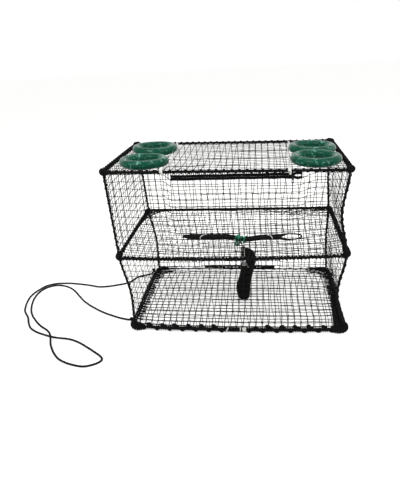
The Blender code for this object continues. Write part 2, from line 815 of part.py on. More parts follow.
# The lower tape falls a little faster than its teeth, so that it stays clear of them on the slope.
for name, height, falls in (("upper", upper_tape_z, 0), ("lower", lower_tape_z, tape_fall)):
    form = bmesh.new()
    rows = []
    for x in zip_stops:
        z = height - falls * parted(x)
        rows.append([form.verts.new((x, bar_front, z - tape_height / 2)),
                     form.verts.new((x, bar_front, z + tape_height / 2))])
    for before, after in zip(rows, rows[1:]):
        form.faces.new((before[0], after[0], after[1], before[1]))
    data = bpy.data.meshes.new(f"zip_tape_{name}")
    form.to_mesh(data)
    form.free()
    tape = add(f"zip_tape_{name}", data, black_tape, top_axis)
    thick = tape.modifiers.new("thickness", "SOLIDIFY")
    thick.thickness = tape_thick
    thick.offset = 0
teeth_count = round((part_start - zip_left_x) / teeth_pitch)
teeth_stops = [zip_left_x + (part_start - zip_left_x) * step / (2 * teeth_count)
               for step in range(2 * teeth_count)]
teeth_stops += zip_stops[8:]
for name, height, falls in (("upper", upper_teeth_z, 0), ("lower", lower_teeth_z, 1)):
    row = [(x, bar_front, height - falls * parted(x)) for x in teeth_stops]
    radii = [teeth_radius if step % 2 else 0.8 * teeth_radius for step in range(len(row))]
    tube(f"zip_teeth_{name}", row, teeth_radius, zip_metal, sides=4, radii=radii, parent=top_axis)

# Slider: two plates joined by a thin neck that runs in the gap between the rows of teeth.
slide_z = (upper_teeth_z + lower_teeth_z) / 2
zip_axis = empty("zip_slide_axis", (slider_x, bar_front, slide_z), top_axis)
plate_y = teeth_radius + gap + slider_plate / 2
slider = box("zip_slider", (slider_length, slider_plate, slider_height), (0, 0, 0), zip_metal)
slider.location = (slider_x, bar_front - plate_y, slide_z)
back_plate = box("slider_back", (slider_length, slider_plate, slider_height), (0, 0, 0), zip_metal)
back_plate.location = (slider_x, bar_front + plate_y, slide_z)
neck_bar = box("slider_neck", (slider_neck_length, 2 * plate_y, slider_neck_height), (0, 0, 0), zip_metal)
neck_bar.location = (slider_x, bar_front, slide_z)
boolean(slider, neck_bar, "UNION")
boolean(slider, back_plate, "UNION")
plate_face = bar_front - plate_y - slider_plate / 2
pull_head_radius = pull_pin_radius + gap + pull_wall
pin_y = plate_face - pull_head_radius - gap
ear_reach = pull_head_radius + gap + pull_pin_radius + pull_wall
for side in (-1, 1):
    ear = box(f"slider_ear_{side}", (ear_thick, ear_reach + ear_weld, ear_height), (0, 0, 0), zip_metal)
    ear.location = (slider_x + side * (pull_width / 2 + gap + ear_thick / 2),
                    plate_face + (ear_weld - ear_reach) / 2, slide_z)
    boolean(slider, ear, "UNION")
pin_half = pull_width / 2 + gap + ear_thick / 2
pin = tube("slider_pin", [(-pin_half, 0, 0), (pin_half, 0, 0)], pull_pin_radius, zip_metal)
pin.location = (slider_x, pin_y, slide_z)
bpy.context.view_layer.update()
boolean(slider, as_mesh(pin), "UNION")
to_parent(slider, zip_axis)


def pull_round(name, radius, length):
    """A cylinder along the pin of the pull."""
    form = bmesh.new()
    bmesh.ops.create_cone(form, cap_ends=True, segments=12, radius1=radius, radius2=radius, depth=length)
    data = bpy.data.meshes.new(name)
    form.to_mesh(data)
    form.free()
    made = add(name, data, zip_metal)
    made.rotation_euler = (0, math.pi / 2, 0)
    made.location = (slider_x, pin_y, slide_z)
    return made


pull_axis = empty("pull_hinge_axis", (slider_x, pin_y, slide_z), zip_axis)
pull = box("zip_pull", (pull_width, pull_thick, pull_length), (0, 0, 0), zip_metal)
pull.location = (slider_x, pin_y, slide_z - pull_length / 2)
boolean(pull, pull_round("pull_head", pull_head_radius, pull_width), "UNION")
boolean(pull, pull_round("pull_hole", pull_pin_radius + gap, 3 * pull_width), "DIFFERENCE")
to_parent(pull, pull_axis)

# Bridle rope on the floor, from one left corner of the bottom frame to the other, and its knots.
left_bar = bottom_lean.x - frame_length / 2
arc = math.radians(157.5)
lash = Vector((left_bar + frame_corner + frame_corner * math.cos(arc),
               bottom_lean.y + frame_depth / 2 - frame_corner + frame_corner * math.sin(arc), 0))
# The lashing has flat facets and narrows away from its middle, so the back knot sits a little into its radius.
knot_seat = 0.0018
back_knot_x = lash.x - bottom_lashing_radius + knot_seat - bridle_knot_radius
back_knot = Vector((back_knot_x, lash.y, bridle_knot_radius))
side_run = frame_depth - 2 * frame_corner
first_bump = side_run / round(side_run / bottom_lacing_pitch) / 2
front_bump_y = bottom_lean.y - frame_depth / 2 + frame_corner + first_bump
front_knot = Vector((left_bar - bottom_bump_radius - gap - bridle_knot_radius, front_bump_y,
                     bridle_knot_radius))
for name, centre in (("bridle_knot_back", back_knot), ("bridle_knot_front", front_knot)):
    form = bmesh.new()
    bmesh.ops.create_uvsphere(form, u_segments=14, v_segments=9, radius=bridle_knot_radius)
    data = bpy.data.meshes.new(name)
    form.to_mesh(data)
    form.free()
    made = add(name, data, black_rope)
    made.location = centre

rest = bridle_radius + bridle_clearance
hump = 3 * bridle_radius + bridle_crossing_gap
bridle_route = [
    (-0.4085, 0.2150, rest), (-0.4390, 0.1980, rest), (-0.4690, 0.1790, rest), (-0.4960, 0.1270, rest),
    (-0.5560, 0.0960, rest), (-0.6200, 0.0820, rest), (-0.6880, 0.1000, rest), (-0.7780, 0.1150, rest),
    (-0.8470, 0.1080, rest), (-0.8860, 0.0760, rest), (-0.9110, -0.0100, rest), (-0.8870, -0.1200, rest),
    (-0.8460, -0.1820, rest), (-0.7900, -0.2690, rest), (-0.6920, -0.3180, rest), (-0.5960, -0.3380, rest),
    (-0.5090, -0.3940, rest), (-0.4490, -0.4500, rest), (-0.4890, -0.4890, rest), (-0.5450, -0.4840, rest),
    (-0.6080, -0.4520, rest), (-0.6580, -0.3910, 0.5 * (rest + hump)), (-0.6920, -0.3180, hump),
    (-0.7230, -0.2800, 0.5 * (rest + hump)), (-0.7800, -0.2300, rest), (-0.8480, -0.1430, rest),
    (-0.8860, -0.0300, rest), (-0.8790, 0.0550, rest), (-0.8270, 0.0940, rest), (-0.7470, 0.0620, rest),
    (-0.6460, -0.0540, rest), (-0.5590, -0.1250, rest), (-0.4950, -0.1620, rest), (-0.4480, -0.1830, rest),
    (-0.4240, -0.1900, rest),
]
bridle_points = smooth_route(bridle_route, bridle_point_spacing)
back_way = (bridle_points[0] - back_knot).normalized()
front_way = (bridle_points[-1] - front_knot).normalized()
meet = bridle_knot_radius + bridle_end_gap
back_meet = back_knot + Vector((back_way.x, back_way.y, 0)).normalized() * meet
front_meet = front_knot + Vector((front_way.x, front_way.y, 0)).normalized() * meet
back_meet.z = rest
front_meet.z = rest
tube("bridle_rope", [back_meet] + bridle_points + [front_meet], bridle_radius, black_rope)

bpy.context.view_layer.update()
for made in list(model.objects):
    if made.type == "MESH" and made.name.startswith(("bottom_", "bridle_knot", "bait_twine")):
        shade_round(made)
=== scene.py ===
import json
import random
from math import copysign, cos, exp, pi, radians, remainder, sin, sqrt

import bpy
import numpy as np
from mathutils import Matrix, Vector

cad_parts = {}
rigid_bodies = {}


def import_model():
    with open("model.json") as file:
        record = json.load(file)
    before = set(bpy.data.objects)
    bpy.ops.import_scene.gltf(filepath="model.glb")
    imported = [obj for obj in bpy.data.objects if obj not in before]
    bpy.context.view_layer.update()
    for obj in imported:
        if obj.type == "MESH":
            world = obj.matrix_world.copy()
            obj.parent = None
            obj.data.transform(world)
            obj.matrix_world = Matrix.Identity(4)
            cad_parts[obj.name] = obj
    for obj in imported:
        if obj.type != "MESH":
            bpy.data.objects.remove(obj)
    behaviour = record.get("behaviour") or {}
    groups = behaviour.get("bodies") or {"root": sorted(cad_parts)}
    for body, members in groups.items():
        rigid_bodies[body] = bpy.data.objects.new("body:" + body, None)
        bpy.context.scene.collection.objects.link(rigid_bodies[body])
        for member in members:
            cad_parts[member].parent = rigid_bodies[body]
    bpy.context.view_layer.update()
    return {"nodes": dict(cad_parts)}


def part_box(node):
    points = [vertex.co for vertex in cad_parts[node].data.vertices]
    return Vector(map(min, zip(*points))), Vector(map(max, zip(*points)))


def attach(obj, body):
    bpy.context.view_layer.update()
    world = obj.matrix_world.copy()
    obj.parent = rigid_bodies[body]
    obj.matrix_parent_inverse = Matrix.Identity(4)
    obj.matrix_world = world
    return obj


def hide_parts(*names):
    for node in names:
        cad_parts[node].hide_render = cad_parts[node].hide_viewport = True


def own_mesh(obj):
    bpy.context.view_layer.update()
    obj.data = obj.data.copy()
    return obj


for old in list(bpy.data.objects):
    bpy.data.objects.remove(old)
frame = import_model()
scene = bpy.context.scene
scene.view_settings.view_transform = "Standard"
print("frame loaded:", len(frame["nodes"]), "nodes")

cameraView = {
    "place": (0.0872, -1.7493, 0.9895), "yaw": radians(7.472), "pitch": radians(23.529),
    "roll": radians(-3.227), "focalPixels": 469.91, "imageHeight": 500, "sensor": 36.0,
}


def vec(*place):
    return Vector(place)


def limit(value, low=0.0, high=1.0):
    return min(high, max(low, value))


def addObject(name, data):
    made = bpy.data.objects.new(name, data)
    scene.collection.objects.link(made)
    return made


def makeCamera(v):
    forward = vec(-sin(v["yaw"]) * cos(v["pitch"]), cos(v["yaw"]) * cos(v["pitch"]),
                  -sin(v["pitch"]))
    level = vec(cos(v["yaw"]), sin(v["yaw"]), 0)
    above = level.cross(forward)
    right = cos(v["roll"]) * level + sin(v["roll"]) * above
    up = cos(v["roll"]) * above - sin(v["roll"]) * level
    data = bpy.data.cameras.new("photoCamera")
    data.sensor_width = v["sensor"]
    data.lens = v["focalPixels"] / v["imageHeight"] * v["sensor"]
    scene.camera = addObject("photoCamera", data)
    scene.camera.matrix_world = Matrix.Translation(v["place"]) @ Matrix((right, up, -forward)).transposed().to_4x4()


makeCamera(cameraView)
print("camera set")

# Sizes of the frames, which the netting and lacing hang from
trap = {
    "length": 0.8, "depth": 0.5, "corner": 0.02, "sag": 0.025,
    "levels": {
        "bottom": {"z": 0.0105, "lean": (0.015, 0.01), "rod": 0.011, "lash": 0.013},
        "middle": {"z": 0.3105, "lean": (-0.005, 0.000), "rod": 0.005, "lash": 0.008},
        "top": {"z": 0.6105, "lean": (-0.015, -0.01), "rod": 0.006, "lash": 0.009},
    },
    "bows": {
        "lower": {"frontLeft": 0.012, "frontRight": 0.024, "backLeft": 0.011, "backRight": 0.006},
        "upper": {"frontLeft": 0.000, "frontRight": 0.02, "backLeft": 0.000, "backRight": 0.004},
    },
    "signs": {"frontLeft": (-1, -1), "frontRight": (1, -1), "backLeft": (-1, 1), "backRight": (1, 1)},
}
halfLength, halfDepth = trap["length"] / 2, trap["depth"] / 2
bottom, middle, top = trap["levels"].values()
apexIn = trap["corner"] * (1 - sqrt(0.5))
chambers = {
    "lower": {"low": bottom, "high": middle, "rows": 12, "body": "base", "joint": "middle_collapse", "travel": 0.22},
    "upper": {"low": middle, "high": top, "rows": 12, "body": "middle", "joint": "top_collapse", "travel": 0.25},
}


def cornerAt(chamber, corner, z):
    below, above = chambers[chamber]["low"], chambers[chamber]["high"]
    share = (z - below["z"]) / (above["z"] - below["z"])
    sx, sy = trap["signs"][corner]
    inward = trap["bows"][chamber][corner] * sin(pi * limit(share)) ** 2
    leanX, leanY = (low + (high - low) * share for low, high in zip(below["lean"], above["lean"]))
    return vec(sx * (halfLength - apexIn - inward) + leanX,
               sy * (halfDepth - apexIn) + leanY, z)


def sagAt(x, y):
    across = 1 - (2 * x / trap["length"]) ** 4
    return middle["z"] - trap["sag"] * across * (1 - (2 * y / trap["depth"]) ** 2)


# The limp pot stands a little out of square. For each frame, how far its corners are out of their places:
# front left, front right, back left and back right
stretch = {
    "bottom": [[(0.002, -0.008, 0), (-0.011, -0.007, 0)], [(0.002, 0, 0), (-0.004, -0.004, 0)]],
    "middle": [[(-0.007, 0, -0.011), (0.003, 0, -0.002)], [(0, 0, 0), (0.01, 0, 0)]],
    "top": [[(-0.011, 0, 0.007), (0.003, 0, -0.003)], [(-0.009, 0, 0.003), (0.008, 0, -0.007)]],
    "reachX": 0.95, "reachY": 0.9, "frontBow": 0.012, "middleSag": 0.0085, "bowDepth": 1.6,
}
# The weight of the bait pulls the middle net down
dip = {"x": 0.045, "y": -0.015, "z": 0.2855, "wide": 0.048, "deep": 0.0075, "high": 0.06}


# Points moved with the corners. The move fades towards the middle of the pot, where the bait hangs.
def stretched(points):
    points = np.array(points, float)
    x, y, z = points.T
    shareX = np.clip(x / trap["length"] + 0.5, 0, 1)[:, None]
    shareY = np.clip(y / trap["depth"] + 0.5, 0, 1)[:, None]
    reach = np.maximum(np.abs(x) / (stretch["reachX"] * halfLength), np.abs(y) / (stretch["reachY"] * halfDepth))
    moves = []
    for level in trap["levels"]:
        front, back = (np.array(left) + (np.array(right) - left) * shareX for left, right in stretch[level])
        moves.append(front + (back - front) * shareY)
    low = np.clip((z - bottom["z"]) / (middle["z"] - bottom["z"]), 0, 1)[:, None]
    high = np.clip((z - middle["z"]) / (top["z"] - middle["z"]), 0, 1)[:, None]
    move = moves[0] + (moves[1] - moves[0]) * low + (moves[2] - moves[1]) * high
    move = move * (np.clip(reach, 0, 1) ** 3)[:, None]
    bow = 1 - (2 * np.clip(x, -halfLength, halfLength) / trap["length"]) ** 2
    near = np.clip(1 - stretch["bowDepth"] * shareY[:, 0], 0, 1)
    move[:, 1] -= stretch["frontBow"] * bow * (1 - low[:, 0]) * near
    move[:, 2] -= stretch["middleSag"] * bow * low[:, 0] * (1 - high[:, 0]) * near
    spread = ((x - dip["x"]) / dip["wide"]) ** 2 + ((y - dip["y"]) / dip["wide"]) ** 2
    move[:, 2] -= dip["deep"] * np.exp(-spread) * np.clip(1 - np.abs(z - dip["z"]) / dip["high"], 0, 1)
    return points + move


# Materials. A node's inputs are given as numbers, colours or the outputs to link.
def addNode(tree, kind, inputs=(), **settings):
    made = tree.nodes.new("ShaderNode" + kind)
    for setting, value in settings.items():
        setattr(made, setting, value)
    fillInputs(tree, made, inputs)
    named = [name for name in ("Result", "Fac") if name in made.outputs]
    return made.outputs[named[0] if named else 0]


def fillInputs(tree, node, inputs):
    for socket, value in dict(inputs).items():
        if isinstance(value, bpy.types.NodeSocket):
            tree.links.new(value, node.inputs[socket])
        else:
            node.inputs[socket].default_value = value


def mixColour(tree, low, high, factor):
    return addNode(tree, "Mix", {"A": low, "B": high, "Factor": factor}, data_type="RGBA")


# pattern(tree, place) gives the share of the light colour and the height of the relief
def makeMaterial(name, dark, light, roughness, shine, bump, deep, pattern, paintedGlint=None, **more):
    made = bpy.data.materials.new(name)
    made.use_nodes = True
    tree = made.node_tree
    place = tree.nodes.new("ShaderNodeTexCoord").outputs["Object"]
    share, height = pattern(tree, place)
    colour = mixColour(tree, (*dark, 1), (*light, 1), share)
    # Painted highlight: where the noise runs high, flecks of a paler colour are mixed into the base colour, standing
    # in for glints of light
    if paintedGlint:
        marks = addNode(tree, "TexNoise", {"Vector": place, "Scale": paintedGlint["size"], "Detail": 5, "Distortion": 1.2})
        glintShare = addNode(tree, "MapRange", {"From Min": 0.57, "From Max": 0.66, "Value": marks})
        colour = mixColour(tree, colour, (*paintedGlint["colour"], 1), glintShare)
    relief = addNode(tree, "Bump", {"Strength": bump, "Distance": deep, "Height": height})
    fillInputs(tree, tree.nodes["Principled BSDF"],
               {"Base Color": colour, "Roughness": roughness, "Specular IOR Level": shine, "Normal": relief, **more})
    return made


def fibreMaterial(name, dark, light, roughness, grain, bump, shine=0.1):
    def pattern(tree, place):
        fibres = addNode(tree, "TexNoise", {"Vector": place, "Scale": grain, "Detail": 4})
        patches = addNode(tree, "TexNoise", {"Vector": place, "Scale": grain / 30})
        both = addNode(tree, "Math", {0: fibres, 1: patches}, operation="MULTIPLY")
        return addNode(tree, "MapRange", {"From Min": 0.12, "From Max": 0.42, "Value": both}), fibres

    return makeMaterial(name, dark, light, roughness, shine, bump, 0.0006, pattern)


def weaveMaterial(name, dark, light, roughness, threads, bump):
    def pattern(tree, place):
        waves = [addNode(tree, "TexWave", {"Vector": place, "Scale": threads, "Distortion": 0.6}, bands_direction=way)
                 for way in ("X", "Z")]
        crossed = addNode(tree, "Math", {0: waves[0], 1: waves[1]}, operation="MULTIPLY")
        return crossed, crossed

    return makeMaterial(name, dark, light, roughness, 0.1, bump, 0.0005, pattern)


def plasticMaterial(name, dark, light, roughness, shine, mottle, paintedGlint=None, **more):
    def pattern(tree, place):
        cloud = addNode(tree, "TexNoise", {"Vector": place, "Scale": mottle, "Detail": 3})
        return cloud, cloud

    return makeMaterial(name, dark, light, roughness, shine, 0.25, 0.001, pattern, paintedGlint, IOR=1.49, **more)


finish = {
    "black_rope": fibreMaterial("blackRope", (0.0008, 0.0008, 0.001), (0.0075, 0.0075, 0.0082), 0.75, 900, 0.5),
    "black_net": fibreMaterial("netTwine", (0.001, 0.001, 0.0012), (0.007, 0.007, 0.0076), 0.8, 1400, 0.4),
    "white_cord": fibreMaterial("whiteCord", (0.46, 0.46, 0.44), (0.8, 0.8, 0.78), 0.75, 1200, 0.5, 0.3),
    "green_twine": fibreMaterial("greenTwine", (0.001, 0.11, 0.06), (0.03, 0.34, 0.2), 0.6, 1200, 0.5, 0.3),
    "bag_mesh": weaveMaterial("baitBagMesh", (0.0008, 0.0008, 0.0008), (0.01, 0.0085, 0.0075), 0.8, 260, 0.7),
    "strap": weaveMaterial("greyStrap", (0.1, 0.1, 0.1), (0.28, 0.28, 0.27), 0.8, 500, 0.4),
    "black_tape": weaveMaterial("zipperTape", (0.0008, 0.0008, 0.001), (0.006, 0.006, 0.0066), 0.85, 500, 0.5),
    # The floats' pale mint flecks are painted highlights, standing in for glints of light on the glossy plastic
    "green_plastic": plasticMaterial("greenFloat", (0.0001, 0.028, 0.015), (0.001, 0.105, 0.058), 0.12, 0.13, 45,
                                     {"size": 72, "colour": (0.11, 0.3, 0.23)}),
    "white_plastic": plasticMaterial("whiteLock", (0.8, 0.8, 0.77), (0.9, 0.9, 0.88), 0.35, 0.4, 160),
    "zip_metal": plasticMaterial("zipperMetal", (0.005, 0.005, 0.0055), (0.014, 0.014, 0.015), 0.4, 0.25, 300,
                                 Metallic=0.6),
}
print("materials made:", len(finish))


# Mesh tools
def smoothRoute(points, spacing):
    marks = [Vector(point) for point in points]
    count = len(marks)
    fine = []
    for index in range(count - 1):
        a, b, c, d = (marks[limit(index + k, 0, count - 1)] for k in (-1, 0, 1, 2))
        for step in range(16):
            t = step / 16
            fine.append(0.5 * (2 * b + (c - a) * t + (2 * a - 5 * b + 4 * c - d) * t * t
                               + (3 * b - a - 3 * c + d) * t ** 3))
    fine.append(marks[-1])
    lengths = loopLengths(fine)
    pieces = max(1, round(lengths[-1] / spacing))
    route = []
    position = 0
    for step in range(pieces + 1):
        wanted = lengths[-1] * step / pieces
        while position < len(fine) - 2 and lengths[position + 1] < wanted:
            position += 1
        share = (wanted - lengths[position]) / max(1e-9, lengths[position + 1] - lengths[position])
        route.append(fine[position].lerp(fine[position + 1], min(1.0, share)))
    return route


def loopLengths(points):
    lengths = [0.0]
    for before, after in zip(points, points[1:]):
        lengths.append(lengths[-1] + (after - before).length)
    return lengths


def turns(count, start=0):
    return [2 * pi * (step + start) / count for step in range(count)]


# Points of an arc, with both ends, between two angles in degrees
def arc(centre, across, up, start, end, steps):
    angles = [radians(start + (end - start) * step / steps) for step in range(steps + 1)]
    return [Vector(centre) + Vector(across) * cos(angle) + Vector(up) * sin(angle) for angle in angles]


def straight(start, end, steps):
    return [start + (end - start) * step / steps for step in range(steps + 1)]


# Faces between rings of vertices
def ringFaces(count, sides, closed=False, flip=False, first=0):
    faces = []
    for index in range(count if closed else count - 1):
        start, following = first + index * sides, first + (index + 1) % count * sides
        for step in range(sides):
            after = (step + 1) % sides
            face = (start + step, start + after, following + after, following + step)
            faces.append(face[:1] + face[:0:-1] if flip else face)
    return faces


def capFaces(count, sides):
    return [tuple(range(sides - 1, -1, -1)), tuple(range((count - 1) * sides, count * sides))]


# Vertices and faces of a round tube. With strands, its section has that many lobes, which turn once per lay.
def tubeMesh(path, radii, sides, closed=False, strands=0, lay=0.03, depth=0.16):
    points = np.array(path, float)
    count = len(points)
    ahead = np.roll(points, -1, axis=0) - points
    behind = points - np.roll(points, 1, axis=0)
    if not closed:
        ahead[-1] = behind[-1]
        behind[0] = ahead[0]
    tangents = unit(unit(ahead) + unit(behind))
    side = np.cross(tangents[0], (0.0, 0.0, 1.0))
    if np.linalg.norm(side) < 0.1:
        side = np.cross(tangents[0], (0.0, 1.0, 0.0))
    side /= np.linalg.norm(side)
    angles = np.arange(sides) * 2 * pi / sides
    radii = np.broadcast_to(np.array(radii, float), (count,))
    travelled = 0.0
    rings = []
    for index in range(count):
        side = side - tangents[index] * np.dot(side, tangents[index])
        side /= np.linalg.norm(side)
        other = np.cross(tangents[index], side)
        if index:
            travelled += np.linalg.norm(points[index] - points[index - 1])
        swell = np.ones(sides)
        if strands:
            swell = 1 - depth + depth * np.abs(np.cos(strands / 2 * (angles - 2 * pi * travelled / lay)))
        ring = np.outer(np.cos(angles) * swell, side) + np.outer(np.sin(angles) * swell, other)
        rings.append(points[index] + radii[index] * ring)
    return np.concatenate(rings), ringFaces(count, sides, closed) + ([] if closed else capFaces(count, sides))


def unit(ways):
    return ways / np.maximum(1e-9, np.linalg.norm(ways, axis=1, keepdims=True))


def blobMesh(centre, radii, rings=7, sides=12, seed=0, rough=0.0):
    dice = random.Random(seed)
    centre, top = Vector(centre), vec(0, 0, radii[2])
    verts = [centre + top]
    for ring in range(1, rings):
        polar = pi * ring / rings
        for turn in turns(sides, 0.5 * (ring % 2)):
            size = 1 + rough * dice.uniform(-1, 1)
            verts.append(centre + size * vec(radii[0] * sin(polar) * cos(turn),
                                             radii[1] * sin(polar) * sin(turn),
                                             radii[2] * cos(polar)))
    verts.append(centre - top)
    faces = [(0, 1 + step, 1 + (step + 1) % sides) for step in range(sides)]
    faces += ringFaces(rings - 1, sides, flip=True, first=1)
    start = 1 + (rings - 2) * sides
    faces += [(start + step, len(verts) - 1, start + (step + 1) % sides) for step in range(sides)]
    return verts, faces


# Vertices and faces of a band: a flat section, round at its edges, which follows the path
def bandMesh(path, wide, thick, up=(0, 0, 1), sides=12):
    up = Vector(up)
    verts = []
    count = len(path)
    for index, spot in enumerate(path):
        way = (path[min(index + 1, count - 1)] - path[max(index - 1, 0)]).normalized()
        across = (up - way * up.dot(way)).normalized()
        out = way.cross(across)
        for angle in turns(sides, 0.5):
            c, s = cos(angle), sin(angle)
            verts.append(spot + across * (wide / 2 * copysign(abs(c) ** 0.3, c))
                         + out * (thick / 2 * copysign(abs(s) ** 0.6, s)))
    return verts, ringFaces(count, sides) + capFaces(count, sides)


# Vertices and faces added one shape after the other
class MeshPile:
    def __init__(self):
        self.verts, self.faces, self.count = [], [], 0

    def add(self, verts, faces):
        self.verts.append(np.asarray(verts, float))
        self.faces += [tuple(index + self.count for index in face) for face in faces]
        self.count += len(verts)
        return self

    def tube(self, path, radii, sides=6, **more):
        return self.add(*tubeMesh(path, radii, sides, **more))

    # A laid cord of three strands that passes smoothly through the points
    def cord(self, points, spacing, radius, sides=7, strands=3, **more):
        return self.tube(smoothRoute(points, spacing), radius, sides, strands=strands, **more)

    def blob(self, centre, radii, **more):
        return self.add(*blobMesh(centre, radii, **more))

    def raiseTo(self, floor):
        for part in self.verts:
            part[:, 2] = np.maximum(part[:, 2], floor)


standNames = {"jointBinding": "bottom_joint_binding", "passageHem": "passage_cord"}


# A piece takes the place of the CAD solid whose name says the same, if there is one
def makePiece(name, pile, look, body, limp=True):
    data = bpy.data.meshes.new(name)
    verts = np.concatenate(pile.verts)
    data.from_pydata((stretched(verts) if limp else verts).tolist(), [], pile.faces)
    data.materials.append(finish[look])
    data.shade_smooth()
    data.set_sharp_from_angle(angle=radians(60))
    made = addObject(name, data)
    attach(made, body)
    stand = standNames.get(name) or "".join("_" + letter.lower() if letter.isupper() else letter for letter in name)
    if stand in frame["nodes"]:
        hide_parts(stand)
    return made


def foldPiece(made, joint, foot):
    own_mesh(made)


# Bridle rope on the floor, between two knots
bridle = {
    "radius": 0.004, "spacing": 0.006, "rest": 0.0041, "hump": 0.0126, "knotRadius": 0.009,
    "knotTurns": ((0.0, 0.62), (1.1, 0.58), (2.1, 0.6)),
}


def bridleRoute(b):
    r, h = b["rest"], b["hump"]
    return [
        (-0.4085, 0.215, r), (-0.439, 0.198, r), (-0.469, 0.179, r), (-0.496, 0.127, r),
        (-0.556, 0.096, r), (-0.62, 0.082, r), (-0.688, 0.1, r), (-0.778, 0.115, r),
        (-0.847, 0.108, r), (-0.886, 0.076, r), (-0.911, -0.01, r), (-0.887, -0.12, r),
        (-0.846, -0.182, r), (-0.79, -0.269, r), (-0.692, -0.318, r), (-0.596, -0.338, r),
        (-0.509, -0.394, r), (-0.449, -0.45, r), (-0.489, -0.489, r), (-0.545, -0.484, r),
        (-0.608, -0.452, r), (-0.658, -0.391, (r + h) / 2), (-0.692, -0.318, h),
        (-0.723, -0.28, (r + h) / 2), (-0.78, -0.23, r), (-0.848, -0.143, r),
        (-0.886, -0.03, r), (-0.879, 0.055, r), (-0.827, 0.094, r), (-0.747, 0.062, r),
        (-0.646, -0.054, r), (-0.559, -0.125, r), (-0.495, -0.162, r), (-0.448, -0.183, r),
        (-0.424, -0.19, r),
    ]


def makeBridle(b):
    route = smoothRoute(bridleRoute(b), b["spacing"])
    knots, ends = [], []
    for place, near in (("back", route[0]), ("front", route[-1])):
        low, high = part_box("bridle_knot_" + place)
        centre = (low + high) / 2
        pile = MeshPile()
        for tilt, size in b["knotTurns"]:
            size *= b["knotRadius"]
            ring = arc(centre, size * vec(cos(tilt), sin(tilt), 0), (0, 0, size), 0, 342, 19)
            pile.tube(ring, b["knotRadius"] * 0.36, 8, closed=True, strands=3, lay=0.016)
        knots.append(makePiece("bridleKnot" + place.capitalize(), pile, "black_rope", "base", limp=False))
        way = vec(near.x - centre.x, near.y - centre.y, 0).normalized()
        ends.append(vec(centre.x, centre.y, b["rest"]) + way * (b["knotRadius"] + 0.0005))
    route = [ends[0], *route, ends[1]]
    pile = MeshPile().tube(route, b["radius"], 12, strands=3, lay=0.02, depth=0.14)
    rope = makePiece("bridleRope", pile, "black_rope", "base", limp=False)
    length = loopLengths(route)[-1]
    print("bridle rope length", round(length, 3))
    [tuple(p) for p in route]


makeBridle(bridle)
print("bridle rope laid")

# Floor, backdrop and light
studio = {
    "floorSize": 40.0, "floorColour": (0.8, 0.8, 0.78), "floorGlow": 0.45, "skyStrength": 0.62,
    "lamps": [
        {"name": "keyLamp", "place": (-1.6, -2.4, 3.2), "size": 2.6, "power": 70},
        {"name": "fillLamp", "place": (2.2, -1.6, 2.6), "size": 2.6, "power": 35},
        {"name": "topLamp", "place": (0.2, 1.2, 3.4), "size": 2.4, "power": 30},
    ],
    "aim": vec(0, 0, 0.2),
}


# 1 for the rays that see the backdrop, 0 for those that light the pot
def seenRay(tree):
    rays = tree.nodes.new("ShaderNodeLightPath").outputs
    seen = addNode(tree, "Math", {0: rays["Is Camera Ray"], 1: rays["Is Glossy Ray"]}, operation="MAXIMUM")
    return addNode(tree, "Math", {0: seen, 1: rays["Is Transmission Ray"]}, operation="MAXIMUM")


def makeStage(s):
    bpy.ops.mesh.primitive_plane_add(size=s["floorSize"], location=(0, 0, 0))
    floor = bpy.context.object
    floor.name = "studioFloor"
    made = bpy.data.materials.new("studioFloor")
    made.use_nodes = True
    tree = made.node_tree
    surface = tree.nodes["Principled BSDF"]
    fillInputs(tree, surface, {"Base Color": (*s["floorColour"], 1), "Roughness": 0.9})
    strength = addNode(tree, "Math", {0: seenRay(tree), 1: s["floorGlow"]}, operation="MULTIPLY")
    glow = addNode(tree, "Emission", {"Color": (1, 1, 1, 1), "Strength": strength})
    both = addNode(tree, "AddShader", {0: surface.outputs[0], 1: glow})
    fillInputs(tree, tree.nodes["Material Output"], {"Surface": both})
    floor.data.materials.append(made)

    scene.world = bpy.data.worlds.new("studioSky")
    scene.world.use_nodes = True
    tree = scene.world.node_tree
    level = addNode(tree, "MapRange", {"Value": seenRay(tree), "To Min": s["skyStrength"], "To Max": 1.0})
    fillInputs(tree, tree.nodes["Background"], {"Color": (1, 1, 1, 1), "Strength": level})
    for lamp in s["lamps"]:
        data = bpy.data.lights.new(lamp["name"], "AREA")
        data.shape, data.size, data.energy = "DISK", lamp["size"], lamp["power"]
        made = addObject(lamp["name"], data)
        made.location = lamp["place"]
        made.rotation_mode = "QUATERNION"
        made.rotation_quaternion = (s["aim"] - made.location).to_track_quat("-Z", "Y")


makeStage(studio)
print("stage and lamps set")

# Netting: each line of twine swells at its knots, and every knot is a little out of place
net = {"twine": 0.0009, "knot": 0.00165, "knotReach": 0.002, "sides": 5, "stray": 0.00065, "slack": 0.0012}


